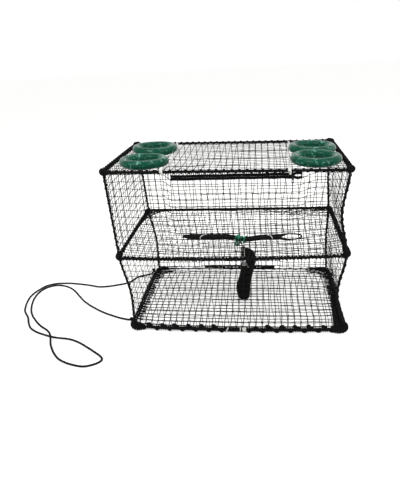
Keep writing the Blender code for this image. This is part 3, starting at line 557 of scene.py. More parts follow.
# place(u, v) gives the point for shares along and up the panel. keep(u, v) says whether a bar there is left in.
def netPile(columns, rows, place, seed, keep=None, stray=1.0, weight=1.0):
    dice = np.random.default_rng(seed)
    knots = np.array([[place(i / columns, j / rows) for j in range(rows + 1)] for i in range(columns + 1)])
    shift = dice.normal(0, net["stray"] * stray, knots.shape)
    shift[0] = shift[-1] = shift[:, 0] = shift[:, -1] = 0
    knots += shift
    slack = dice.uniform(-1, 1, (columns + 1, rows + 1, 2, 3)) * net["slack"] * stray
    pile = MeshPile()
    for along in (0, 1):
        grid, bends = knots, slack[:, :, along]
        if not along:
            grid, bends = (part.transpose(1, 0, 2) for part in (grid, bends))
        lines, steps = grid.shape[0], grid.shape[1] - 1
        for line in range(lines):
            run, radii = [], []
            for step in range(steps + 1):
                a = grid[line, step]
                run.append(a)
                radii.append(net["knot"] * weight)
                if step < steps:
                    b = grid[line, step + 1]
                    spot = (line / (lines - 1), (step + 0.5) / steps)
                    if keep and not keep(*spot[::1 if along else -1]):
                        if len(run) > 1:
                            pile.tube(run, radii, net["sides"])
                        run, radii = [], []
                        continue
                    reach = min(0.3, net["knotReach"] / max(1e-6, np.linalg.norm(b - a)))
                    run += [a + (b - a) * reach, (a + b) / 2 + bends[line, step], a + (b - a) * (1 - reach)]
                    radii += [net["twine"] * weight] * 3
            if len(run) > 1:
                pile.tube(run, radii, net["sides"])
    return pile


# 1 at both ends of a panel, which falls to 0 after a share of 1 / count
def nearEnd(share, count):
    return max(0.0, 1 - count * min(share, 1 - share))


def ramp(x, span, run=0.02):
    return limit(min(1 + (x - span["left"]) / run, 1 + (span["right"] - x) / run))


entrance = {"left": -0.157, "right": 0.173, "rise": 0.0078}
zipper = {
    "left": -0.193, "right": 0.232, "drop": 0.0188, "y": -0.26, "middle": 0.5943, "tape": 0.0088,
    "tapeHalf": 0.00475, "thick": 0.0011, "partStart": 0.208, "part": 0.0034, "toothPitch": 0.0024,
    "tooth": (0.0008, 0.001, 0.0016), "toothOff": 0.0009, "lacing": 0.0013, "lacingStep": 0.0125, "hem": 0.0009,
    "wave": 0.0004,
}
walls = {
    "front": {"ends": ("frontLeft", "frontRight"), "out": vec(0, -1, 0), "columns": 32, "weight": 1.15},
    "back": {"ends": ("backLeft", "backRight"), "out": vec(0, 1, 0), "columns": 32, "weight": 1.45},
    "left": {"ends": ("backLeft", "frontLeft"), "out": vec(-1, 0, 0), "columns": 20, "weight": 1.15,
             "lower": 0.66},
    "right": {"ends": ("backRight", "frontRight"), "out": vec(1, 0, 0), "columns": 20, "weight": 0.85},
}
# The upper back net is gathered towards its foot by this power
gather = 1.35


def wallPlace(chamber, side):
    low, high, w = chambers[chamber]["low"], chambers[chamber]["high"], walls[side]

    def along(z, u):
        return cornerAt(chamber, w["ends"][0], z).lerp(cornerAt(chamber, w["ends"][1], z), u)

    def place(u, v):
        if (chamber, side) == ("upper", "back"):
            v = v ** gather
        corner = nearEnd(u, w["columns"] / 4)
        x = along((low["z"] + high["z"]) / 2, u).x
        foot = low["z"] + low["rod"] + (low["lash"] - low["rod"]) * corner
        head = high["z"] - high["rod"] - (high["lash"] - high["rod"]) * corner
        if (chamber, side) == ("lower", "back"):
            foot += entrance["rise"] * ramp(x, entrance)
        if (chamber, side) == ("upper", "front"):
            head -= zipper["drop"] * ramp(x, zipper)
        return along(foot + (head - foot) * v, u) + w["out"] * apexIn * (1 - corner)

    return place


seed = 10
for chamber, c in chambers.items():
    foot = c["low"]["z"] + c["low"]["rod"]
    for side, w in walls.items():
        pile = netPile(w["columns"], c["rows"], wallPlace(chamber, side), seed,
                       weight=w["weight"] * w.get(chamber, 1))
        made = makePiece(chamber + "Net" + side.capitalize(), pile, "black_net", c["body"])
        foldPiece(made, c["joint"], foot)
        seed += 1
print("wall nets hung")


def flatPlace(level, edge, cornerEdge, heightAt):
    def place(u, v):
        side = edge + (cornerEdge - edge) * nearEnd(v, 5)
        end = edge + (cornerEdge - edge) * nearEnd(u, 8)
        x = (2 * u - 1) * (halfLength - side)
        y = (2 * v - 1) * (halfDepth - end)
        return vec(x + level["lean"][0], y + level["lean"][1], heightAt(x, y))

    return place


# Passage: two hems side by side with a slit between them, which open into an eye at the far end
passage = {
    "start": Vector((-0.208, -0.007)), "end": Vector((0.264, -0.0185)), "radius": 0.0082, "tip": 0.0034,
    "tipLength": 0.045, "waist": 0.2, "waistAt": 0.226, "waistLength": 0.022, "rim": 0.003, "slit": 0.001,
    "eyeLength": 0.094, "eyeWidth": 0.06, "lap": 0.0025, "step": 0.004, "strands": 5, "lay": 0.06, "rough": 0.05,
    "seed": 81,
}
passage["along"] = (passage["end"] - passage["start"]).normalized()
passage["across"] = Vector((-passage["along"].y, passage["along"].x))
passage["length"] = (passage["end"] - passage["start"]).length


def hemThick(p, distance):
    lead = sin(pi / 2 * limit(distance / p["tipLength"]))
    full = p["tip"] + (p["radius"] - p["tip"]) * lead
    full *= 1 - p["waist"] * exp(-((distance - p["waistAt"]) / p["waistLength"]) ** 2)
    runLength = p["length"] - p["rim"] - p["eyeLength"]
    return full + (p["rim"] - full) * limit((distance - runLength) / (p["eyeLength"] / 2))


# How far a hem lies from the middle line
def hemHalf(p, distance):
    fromEnd = p["length"] - p["rim"] - distance
    half = p["eyeLength"] / 2
    if fromEnd > 2 * half:
        return hemThick(p, distance) + p["slit"] / 2
    if fromEnd > half:
        share = (2 * half - fromEnd) / half
        run = p["radius"] + p["slit"] / 2
        return run + (p["eyeWidth"] / 2 - run) * (1 - cos(pi * share)) / 2
    return p["eyeWidth"] / 2 * sqrt(max(0.0, 1 - ((half - fromEnd) / half) ** 2))


# The passage sways: how far its middle line lies to the side, at its deepest just past the twine
def passageSway(p, distance):
    past = 1 / (1 + exp(-(distance - p["waistAt"]) / 0.012))
    return -0.001 - 0.0035 * past - 0.0065 * exp(-((distance - p["waistAt"] - 0.026) / 0.026) ** 2)


def passagePoint(p, distance, offset):
    flat = p["start"] + p["along"] * distance + p["across"] * (offset + passageSway(p, distance))
    return vec(flat.x, flat.y, sagAt(flat.x - middle["lean"][0], flat.y - middle["lean"][1]))


def outsidePassage(p, point):
    flat = Vector((point[0], point[1])) - p["start"]
    distance, offset = flat.dot(p["along"]), flat.dot(p["across"])
    if not -0.004 < distance < p["length"] + 0.004:
        return True
    inside = limit(distance, 0, p["length"] - p["rim"])
    return abs(offset - passageSway(p, inside)) > hemHalf(p, inside) + hemThick(p, inside) - p["lap"]


floorPlace = flatPlace(bottom, 0.0074, 0.0145, lambda x, y: 0.0014)
middlePlace = flatPlace(middle, 0.0053, 0.0125, sagAt)
topPlace = flatPlace(top, 0.0063, 0.013, lambda x, y: top["z"])
makePiece("floorNet", netPile(32, 20, floorPlace, 31, stray=0.6, weight=1.6), "black_net", "base")
makePiece("middleNet", netPile(36, 22, middlePlace, 32, keep=lambda u, v: outsidePassage(passage, middlePlace(u, v))),
          "black_net", "middle")
makePiece("topNet", netPile(32, 20, topPlace, 33, stray=0.5), "black_net", "top")
print("floor, middle and top nets laid")

# Frames: a rod with rope lacing wound round it, a lashing at each corner and hitches along the front.
# A frame's cores are its rod's radii on the right, back, left and front. Its lacing bulges once a pitch.
# reach is how far a lashing goes along the ends and the sides, and mass is a longer reach at some corners.
frames = {
    "bottom": {"cores": (0.005, 0.0026, 0.0024, 0.0064), "cord": 0.0036, "sideCords": (1.0, 0.42, 0.35, 1.0),
               "cornerCords": (1.0, 0.55, 0.45, 1.0), "pitch": 0.0509, "lashCord": 0.0033, "reach": (0.024, 0.044),
               "mass": {0: 0.04}, "layers": (3, 2, 2, 3), "floor": 0.0002, "body": "base", "wobble": 0.0005,
               "bare": (-0.029, 0.056), "hitches": (0.0509, -0.3387, 1, (0.005, 0.0096), (0.01, 0.008, 0.0066))},
    "middle": {"cores": (0.0062, 0.004, 0.0052, 0.0032), "cord": 0.0017, "pitch": 0.025, "lashCord": 0.0022,
               "reach": (0.016, 0.009), "mass": {0: 0.066, 3: 0.03}, "body": "middle", "wobble": 0.0003,
               "hitches": (0.0125, -0.385, 2, (0.001, 0.0046), (0.0038, 0.0034, 0.0034))},
    "top": {"cores": (0.0062, 0.004, 0.0058, 0.0044), "cord": 0.0018, "pitch": 0.025, "lashCord": 0.0022,
            "reach": (0.016, 0.012), "mass": {}, "body": "top", "wobble": 0.0003},
}


# Points round a frame, and how far along the loop the middles of its corners lie
def frameLoop(level, spacing):
    radius = trap["corner"]
    halfX, halfY = halfLength - radius, halfDepth - radius
    centres = [vec(x, y, 0) for x, y in ((halfX, -halfY), (halfX, halfY), (-halfX, halfY), (-halfX, -halfY))]
    place = vec(level["lean"][0], level["lean"][1], level["z"])
    points, corners = [], []
    travelled = 0.0
    for number, centre in enumerate(centres):
        corners.append(travelled + radius * pi / 4)
        bend = arc(centre + place, (radius, 0, 0), (0, radius, 0), 90 * number - 90, 90 * number, 12)
        run = centres[(number + 1) % 4] - centre
        points += bend[:-1] + straight(bend[-1], bend[-1] + run, round(run.length / spacing))[:-1]
        travelled += radius * pi / 2 + run.length
    return points, corners


class Loop:
    def __init__(self, points):
        self.points = points
        self.lengths = np.array(loopLengths(points + points[:1]))
        self.total = float(self.lengths[-1])

    # The point at a distance along the loop, with the way across it
    def at(self, distance):
        distance %= self.total
        index = min(int(np.searchsorted(self.lengths, distance, side="right")) - 1, len(self.points) - 1)
        a, b = self.points[index], self.points[(index + 1) % len(self.points)]
        way = (b - a).normalized()
        return a + way * (distance - self.lengths[index]), vec(way.y, -way.x, 0)

    # A spiral round the loop. radiusAt gives its radius at a distance.
    def wound(self, first, last, radiusAt, pitch, step, wobble, dice, phase=0.0):
        route = []
        count = max(2, round((last - first) / step))
        drift = 0.0
        for index in range(count + 1):
            distance = first + (last - first) * index / count
            spot, across = self.at(distance)
            drift += dice.uniform(-1, 1) * 0.1
            angle = phase + 2 * pi * (distance - first) / pitch + drift * 0.5
            size = radiusAt(distance) + dice.uniform(-1, 1) * wobble
            route.append(spot + size * (across * cos(angle) + vec(0, 0, sin(angle))))
        return route


def makeFrame(name, level, f):
    points, corners = frameLoop(level, 0.008)
    loop = Loop(points)
    total = loop.total
    dice = random.Random(40 + len(name))
    marks = [corners[3] - total, *corners, corners[0] + total]
    sizes = [f["cores"][3], f["cores"][3], *f["cores"]]
    start = halfLength - trap["corner"]

    def coreAt(distance):
        distance %= total
        number = next((number for number in range(5) if marks[number] <= distance < marks[number + 1]), 0)
        before, here = sizes[number], sizes[number + 1]
        return before + (here - before) * min(1.0, (distance - marks[number]) / 0.1)

    pile = MeshPile()
    pile.tube(points, [coreAt(distance) for distance in loop.lengths[:-1]], 10, closed=True)
    inset = f["reach"][0] * 0.6
    stops = [(here + inset, following - inset) for here, following in zip(corners, [*corners[1:], corners[0] + total])]
    hitchPitch, x, rows, (inward, lift), radii = f.get("hitches", (0, 1, 0, (0, 0), 0))
    bare = f.get("bare")
    if bare:
        front = total - start - level["lean"][0]
        stops[3:] = [(stops[3][0], front + bare[0]), (front + bare[1], stops[3][1])]
    for number, (first, last) in enumerate(stops):
        cord = f["cord"] * f.get("sideCords", (1, 1, 1, 1))[min(number, 3)]
        phase = dice.uniform(0, 6)
        if number >= 3 and hitchPitch == f["pitch"]:
            phase = -pi / 2 - 2 * pi * (x + f["pitch"] / 2 - (first - total + start)) / f["pitch"]
        pile.tube(loop.wound(first, last, lambda distance: coreAt(distance) + cord * 0.85, f["pitch"],
                             f["pitch"] / 14, f["wobble"], dice, phase), cord, 7, strands=3, lay=0.012)
        pile.tube(loop.wound(first, last, lambda distance: coreAt(distance) + cord * 0.2, cord * 2.2, cord * 0.24,
                             0.0002, dice), cord * 0.5, 5)
    for number, here in enumerate(corners):
        side, end = f["mass"].get(number, f["reach"][0]), f["reach"][1]
        before, after = (end, side) if number in (0, 2) else (side, end)
        lash = f["lashCord"] * f.get("cornerCords", (1, 1, 1, 1))[number]
        for layer in range(f.get("layers", (2, 2, 2, 2))[number]):
            grow = lash * (0.6 + 1.3 * layer)
            shrink = 1 - 0.22 * layer
            pile.tube(loop.wound(here - before * shrink, here + after * shrink,
                                 lambda distance: max(coreAt(distance), f["cores"][0]) + grow,
                                 lash * 2.05, lash * 0.2, f["wobble"] * 0.4, dice), lash * (1 - 0.1 * layer), 7)
    while x < 0.39:
        for side in (1, -1)[:rows]:
            spot = x + (side < 0) * hitchPitch / 2 + dice.uniform(-1, 1) * 0.06 * hitchPitch
            if bare and bare[0] - 0.02 < spot < bare[1] + 0.02:
                continue
            size = dice.uniform(0.8, 1.15)
            place = vec(spot, side * inward - halfDepth, side * lift)
            pile.blob(place + vec(*level["lean"], level["z"]), [radius * size for radius in radii],
                      sides=10, seed=dice.randrange(99), rough=0.14)
        x += hitchPitch
    pile.raiseTo(f.get("floor", -1))
    makePiece(name + "Frame", pile, "black_rope", f["body"])


for name, f in frames.items():
    makeFrame(name, trap["levels"][name], f)
print("frames laced")

# Corner ropes, each wrapped with a thin cord
cornerRope = {"radius": 0.0046, "lay": 0.022, "wrap": 0.0013, "wrapPitch": 0.025, "count": 50, "fray": 0.0004}


def makeCornerRope(r, chamber, c, corner, dice):
    foot, head = c["low"]["z"] + c["low"]["lash"] * 0.9, c["high"]["z"] - c["high"]["lash"] * 0.9
    count = r["count"]
    route = [cornerAt(chamber, corner, foot + (head - foot) * step / count)
             + vec(dice.uniform(-1, 1), dice.uniform(-1, 1), 0) * r["fray"] for step in range(count + 1)]
    pile = MeshPile().tube(route, r["radius"], 9, strands=3, lay=r["lay"], depth=0.22)
    turn = []
    for step in range(6 * count + 1):
        spot = route[min(count - 1, step // 6)].lerp(route[min(count, step // 6 + 1)], (step % 6) / 6)
        angle = 2 * pi * (head - foot) * step / (6 * count) / r["wrapPitch"]
        turn.append(spot + (r["radius"] + r["wrap"] * 0.6) * vec(cos(angle), sin(angle), 0))
    pile.tube(turn, r["wrap"], 5)
    made = makePiece(chamber + "Rope" + corner[0].upper() + corner[1:], pile, "black_rope", c["body"])
    foldPiece(made, c["joint"], foot)


for chamber, c in chambers.items():
    for number, corner in enumerate(trap["signs"]):
        makeCornerRope(cornerRope, chamber, c, corner, random.Random(60 + number))
print("corner ropes hung")

# Binding over the joint of the bottom rod, with its white ties: where each is, its width and its slant
binding = {
    "low": -0.029, "high": 0.056, "cord": 0.0012, "radius": 0.0076, "rough": 0.00025, "seed": 71,
    "tieCord": 0.0006, "tieRadius": 0.0095,
    "ties": {"Left": (-0.02, 0.0052, 0.6), "Middle": (0.0318, 0.003, 0.0), "Right": (0.047, 0.014, -0.12)},
}


def barSpiral(low, high, radius, pitch, slant=0.0, steps=14):
    count = max(steps, round((high - low) / pitch * steps))
    centre = vec(0, bottom["lean"][1] - halfDepth, bottom["z"])
    route = []
    for step in range(count + 1):
        angle = 2 * pi * (high - low) / pitch * step / count
        x = low + (high - low) * step / count + slant * radius * sin(angle)
        route.append(centre + vec(x, radius * cos(angle), radius * sin(angle)))
    return route


def makeBinding(b):
    dice = random.Random(b["seed"])
    lay = [spot + vec(0, dice.uniform(-1, 1), dice.uniform(-1, 1)) * b["rough"]
           for spot in barSpiral(b["low"], b["high"], b["radius"], b["cord"] * 2.1)]
    makePiece("jointBinding", MeshPile().tube(lay, b["cord"]), "black_rope", "base")
    for side, (x, width, slant) in b["ties"].items():
        wrap = barSpiral(x - width / 2, x + width / 2, b["tieRadius"], b["tieCord"] * 2.05, slant)
        makePiece("bindingTie" + side, MeshPile().tube(wrap, b["tieCord"]), "white_cord", "base")


makeBinding(binding)


# Hems round the passage, as one thick cord
def makePassage(p):
    dice = random.Random(p["seed"])
    half = p["eyeLength"] / 2
    tip = p["length"] - p["rim"]
    run = tip - half
    count = round(run / p["step"])
    stops = [run * step / count for step in range(count + 1)]
    stops += [run + half * sin(radians(90 * step / 14)) for step in range(1, 14)]
    route = [passagePoint(p, stop, -hemHalf(p, stop)) for stop in stops]
    route += [passagePoint(p, tip, 0)]
    route += [passagePoint(p, stop, hemHalf(p, stop)) for stop in reversed(stops)]
    radii = []
    for number, stop in enumerate(stops + [tip] + stops[::-1]):
        wave = 1 + p["rough"] * (sin(number * 0.55) + dice.uniform(-1, 1)) / 2
        radii.append(hemThick(p, stop) * wave * 0.97)
    pile = MeshPile().tube(route, radii, 12, strands=p["strands"], lay=p["lay"])
    makePiece("passageHem", pile, "black_rope", "middle")


makePassage(passage)


# A ring round both hems, leaning along them by the slant
def roundPassage(p, x, off, slant, turns=1, advance=0.0, steps=28):
    distance = (x - p["start"].x) / p["along"].x
    thick = hemThick(p, distance)
    run = thick + p["slit"] / 2
    size = thick + off
    flat, bend = 2 * run, pi * size
    route = []
    for step in range(round(steps * turns) + 1):
        share = (step / steps) % 1.0 * 2 * (flat + bend)
        sign = 1 if share < flat + bend else -1
        past = share - (0 if sign > 0 else flat + bend)
        angle = pi / 2 - max(0.0, past - flat) / size
        y = sign * (min(past, flat) - run + size * cos(angle))
        z = sign * size * sin(angle)
        route.append(passagePoint(p, distance + slant * y + advance * step / steps, y) + vec(0, 0, z))
    return route


ties = {"Left": (-0.1175, 0.95), "Right": (0.134, -0.85)}
for side, (x, slant) in ties.items():
    pile = MeshPile().tube(roundPassage(passage, x, 0.0014, slant), 0.0014)
    pile.blob(roundPassage(passage, x, 0.002, slant)[3], (0.0022, 0.0018, 0.0014), rings=5, sides=8)
    makePiece("passageTie" + side, pile, "white_plastic", "middle")

# Green twine: turns lashed on the hem, and the loop that the bait bag hangs from. Each turn has a place and a slant.
twine = {
    "centre": vec(0.02, -0.01256, 0.28556), "loop": 0.0162, "drop": 0.0045, "radius": 0.0012, "lay": 0.006,
    "turns": [(0.009, 0.3), (0.013, -0.15), (0.017, 0.1), (0.022, -0.2), (0.027, 0.15), (0.034, -0.3),
              (0.043, 0.35)],
    "turnRadius": 0.0022, "wind": 0.0042,
    "knot": vec(0.002, 0, -0.0195), "knotRadius": 0.0056, "foot": vec(0.013, 0, -0.04526), "half": 0.0017,
    "bows": ((1.0, 0.0), (1.3, 0.003), (0.7, -0.002), (1.15, -0.004)),
    "bow": ((0, 0, 0), (-0.006, -0.004, 0.003), (-0.013, -0.006, -0.001), (-0.014, -0.006, -0.011),
            (-0.008, -0.005, -0.016), (-0.003, -0.003, -0.01), (0, 0, 0)),
    "tail": ((0, 0, 0), (-0.004, -0.005, -0.004), (-0.009, -0.008, -0.012), (-0.01, -0.008, -0.022)),
}


def makeTwine(t):
    lay, radius, size = t["lay"], t["radius"], t["knotRadius"]
    pile = MeshPile()
    for x, slant in t["turns"]:
        turn = roundPassage(passage, x, t["turnRadius"] * 0.9, slant, turns=1.05, advance=0.002)
        pile.tube(turn, t["turnRadius"], 7, strands=3, lay=lay)
    makePiece("greenTurns", pile, "green_twine", "middle")
    centre, knot = t["centre"], t["centre"] + t["knot"]
    legs = []
    for side in (-1, 1):
        half = vec(0, side * t["half"], 0)
        legs.append([centre + t["foot"] + half, knot + half * 1.3 + vec(0.004, 0, -0.01), knot + half,
                     centre + vec(0, side * 0.55 * t["loop"], -0.0177 - t["drop"])])
    ring = arc(centre - vec(0, 0, t["drop"]), (0, -t["loop"], 0), (0, 0, t["loop"]), -40, 220, 18)
    pile = MeshPile().cord(legs[0] + ring + legs[1][::-1], 0.0018, radius, 8, lay=lay)
    pile.blob(knot, (size, size, size * 1.1), seed=5, rough=0.12)
    for number in range(3):
        pile.tube(arc(knot + vec(0, 0, 0.002 * number - 0.002), (t["wind"], 0, 0.001 * sin(number)),
                      (0, t["wind"], 0.001 * cos(number)), 0, 360, 14), radius, strands=3, lay=lay)
    for size, lean in t["bows"]:
        bow = [knot + size * Vector(offset) + vec(0, lean, 0) for offset in t["bow"]]
        pile.cord(bow, 0.0015, radius * 1.6, lay=lay)
    pile.cord([knot + Vector(offset) for offset in t["tail"]], 0.0015, radius, lay=lay)
    makePiece("baitTwine", pile, "green_twine", "bait", limp=False)


makeTwine(twine)
print("passage, ties and twine made")

# Bait bag: fine mesh drawn over lumps of bait, with its drawcord and lock. A ring is its x, height and radius.
bag = {
    "y": -0.01256, "sides": 32, "rows": 64, "flat": 0.85, "lump": 0.0024, "lumps": 26, "seed": 91, "low": 0.0048,
    "rings": [(.034, .2396, .004), (.0348, .2374, .009), (.0385, .233, .015), (.0455, .2275, .0205),
              (.053, .215, .0272), (.056, .1985, .029), (.057, .18, .029), (.0525, .1572, .028),
              (.048, .1402, .0262), (.0425, .1175, .0256), (.0372, .0919, .0268), (.0348, .0664, .029),
              (.0333, .0408, .0282), (.0338, .023, .0272), (.0345, .012, .0242), (.0352, .0055, .0185)],
    "foot": (.0358, .003), "anchor": 0.2395, "keep": 0.07,
    "strap": [(0.0405, -0.0364, 0.191), (0.044, -0.0372, 0.182), (0.049, -0.0378, 0.171), (0.055, -0.0378, 0.16)],
    "strapHalf": vec(0.0035, 0.0006, 0), "strapThick": 0.0009,
}
drawcord = {
    "radius": 0.0012, "lay": 0.006, "neck": vec(0.0346, -0.01256, 0.2366), "neckRadius": 0.01,
    "tailX": 0.00275, "lock": vec(0.0375, -0.043, 0.199), "lockSize": (0.0165, 0.01, 0.0195), "button": 0.0032,
}


def hangPiece(name, pile, look, body="bait"):
    made = makePiece(name, pile, look, body, limp=False)
    if look == "strap":
        made.modifiers.new("thickness", "SOLIDIFY").thickness = bag["strapThick"]
        made.modifiers["thickness"].offset = 0
        with bpy.context.temp_override(object=made, active_object=made, selected_objects=[made]):
            bpy.ops.object.modifier_apply(modifier="thickness")
    foldPiece(made, "middle_collapse", bag["anchor"])


def makeBag(b):
    rows = smoothRoute([(x, radius, z) for x, z, radius in b["rings"]], 0.25 / b["rows"])
    dice = np.random.default_rng(b["seed"])
    lumps = [(dice.uniform(0, 2 * pi), dice.uniform(0.01, 0.23), dice.uniform(0.4, 1.0)) for _ in range(b["lumps"])]
    sides, y = b["sides"], b["y"]
    verts, seam = [], []
    for x, radius, z in rows:
        neck = limit((0.236 - z) / 0.03)
        for angle in turns(sides):
            push = sum(size * exp(-((z - high) / 0.02) ** 2 - (remainder(angle - turn, 2 * pi) / 0.7) ** 2)
                       for turn, high, size in lumps)
            reach = radius + b["lump"] * neck * (push - 0.5) + 0.0006 * cos(9 * angle) * (1 - neck)
            verts.append(vec(x + reach * cos(angle), y + b["flat"] * reach * sin(angle), z))
        seam.append(vec(x + 0.3 * radius, y - radius * b["flat"], max(z, 0.004)))
    verts += [vec(b["rings"][0][0], y, b["rings"][0][1] + 0.0006), vec(b["foot"][0], y, b["foot"][1])]
    faces = ringFaces(len(rows), sides, flip=True)
    last = (len(rows) - 1) * sides
    for step in range(sides):
        after = (step + 1) % sides
        faces += [(len(verts) - 2, step, after), (last + after, last + step, len(verts) - 1)]
    pile = MeshPile().add(verts, faces)
    pile.raiseTo(b["low"])
    hangPiece("baitBag", pile.cord(seam[2:-1:2], 0.004, 0.0011, 5, strands=0), "bag_mesh")
    ribbon = [spot + side * b["strapHalf"] for spot in smoothRoute(b["strap"], 0.003) for side in (-1, 1)]
    faces = [(start, start + 1, start + 3, start + 2) for start in range(0, len(ribbon) - 2, 2)]
    hangPiece("bagStrap", MeshPile().add(ribbon, faces), "strap")


def makeDrawcord(d):
    lock, neck, size = d["lock"], d["neck"], d["neckRadius"]
    tails = [[lock + vec(side * (d["tailX"] + 0.001), -0.001, -0.026),
              *(lock + vec(side * d["tailX"], y, z) for y, z in ((0, -0.01), (0, 0.013), (0.003, 0.026))),
              neck + vec(side * 0.004, -0.0115, -0.0015)] for side in (-1, 1)]
    ring = arc(neck, (size, 0, 0), (0, size, 0), 230, -50, 12)
    pile = MeshPile().cord(tails[0] + ring + tails[1][::-1], 0.002, d["radius"], lay=d["lay"])
    for tail in tails:
        pile.blob(tail[0], (0.002, 0.002, 0.0024), rings=6, sides=9, seed=3, rough=0.1)
    hangPiece("bagDrawcord", pile, "white_cord")
    sx, sy, sz = d["lockSize"]
    rings, sides = 15, 24
    verts = []
    for ringNumber in range(rings):
        high = ringNumber / (rings - 1) * 2 - 1
        narrow = (1 - abs(high) ** 6) ** (1 / 6) if abs(high) < 1 else 0.55
        narrow *= 1 - 0.1 * cos(pi * high * 1.2) * (abs(high) < 0.8)
        for angle in turns(sides):
            c, s = cos(angle), sin(angle)
            wide = narrow * (c ** 4 + s ** 4) ** -0.25 * 0.9
            verts.append(lock + vec(sx / 2 * wide * c, sy / 2 * wide * s, sz / 2 * high))
    pile = MeshPile().add(verts, ringFaces(rings, sides) + capFaces(rings, sides))
    size = d["button"]
    button = [spot for side in (-1, 1) for spot in arc(lock + vec(0, side * 0.0008 - sy / 2 * 0.88, 0.001),
                                                       (size, 0, 0), (0, 0, size), 0, 337.5, 15)]
    hangPiece("cordLock", pile.add(button, ringFaces(2, 16) + capFaces(2, 16)[:1]), "white_plastic", "lock")


makeBag(bag)
makeDrawcord(drawcord)
print("bait bag made")

# Ring floats, and the white cords beside them
floats = {
    "path": 0.0675, "tube": 0.0153, "z": 0.6276, "around": 72, "section": 24, "seam": 0.0005,
    "places": {"BackLeft": (-0.2985, 0.058), "FrontLeft": (-0.2915, -0.168), "BackRight": (0.288, 0.008),
               "FrontRight": (0.284, -0.166)},
}


def makeFloat(f, name, x, y, dice):
    wave = [(dice.uniform(0, 6), dice.uniform(0.0001, 0.0004)) for _ in range(3)]
    verts = []
    for turn in turns(f["around"]):
        lump = sum(size * sin((k + 2) * turn + phase) for k, (phase, size) in enumerate(wave))
        for angle in turns(f["section"]):
            thick = f["tube"] + lump * 0.5 + f["seam"] * exp(-(sin(angle) / 0.1) ** 2)
            reach = f["path"] + thick * cos(angle)
            verts.append(vec(x + reach * cos(turn), y + reach * sin(turn), f["z"] + thick * sin(angle)))
    faces = ringFaces(f["around"], f["section"], closed=True, flip=True)
    makePiece("float" + name, MeshPile().add(verts, faces), "green_plastic", "top")


for number, (name, spot) in enumerate(floats["places"].items()):
    makeFloat(floats, name, *spot, random.Random(100 + number))
floatCords = {
    "radius": 0.0033, "lay": 0.014, "z": 0.615, "wrap": 0.0104, "bar": (-0.26, 0.6105),
    "routes": {
        "Left": [(-0.236, 0.21), (-0.2235, 0.13), (-0.2165, 0.058), (-0.2145, -0.06), (-0.2075, -0.168)],
        "Right": [(0.217, 0.181), (0.2095, 0.095), (0.203, 0.008), (0.201, -0.08), (0.198, -0.166)],
    },
    "ends": {"Left": -0.216, "Right": 0.191},
}


def makeFloatCord(c, side):
    lay, size = c["lay"], c["wrap"]
    bar = Vector((c["ends"][side], *c["bar"]))
    way = (0, size, 0), (0, 0, size)
    route = [vec(x, y, c["z"]) for x, y in c["routes"][side]]
    route.append(vec(bar.x, bar.y + 2.6 * size, c["z"]))
    pile = MeshPile().cord(route + arc(bar, *way, 60, 180, 4), 0.0025, c["radius"], 9, lay=lay, depth=0.22)
    ring = [spot + vec(0.004 + 0.002 * step / 24, 0, 0) for step, spot in enumerate(arc(bar, *way, 0, 360, 24))]
    pile.tube(ring, c["radius"] * 0.9, 8, strands=3, lay=lay)
    knot, back = bar + vec(0.002, -size * 0.7, 0.0045), route[0]
    for number, (spot, radii, ways) in enumerate((
            (knot, (0.0046, 0.0036, 0.0042), ((0.003, -0.0015, -0.006), (0.001, -0.001, -0.014))),
            (back, (0.0042, 0.0046, 0.0034), ((-0.001, 0.008, 0), (-0.004, 0.017, 0.0002))))):
        pile.blob(spot, radii, seed=9 + number, rough=0.14)
        pile.cord([spot, *(spot + Vector(way) for way in ways)], 0.002, c["radius"] * 0.8, lay=lay)
    makePiece("floatCord" + side, pile, "white_cord", "top")


makeFloatCord(floatCords, "Left")
makeFloatCord(floatCords, "Right")
print("floats and cords made")


# Zipper: two woven tapes laced to the bar, interlocked teeth, the slider and its pull
def zipPart(z, x):
    return z["part"] * sin(pi * limit((x - z["partStart"]) / (z["right"] - z["partStart"])))


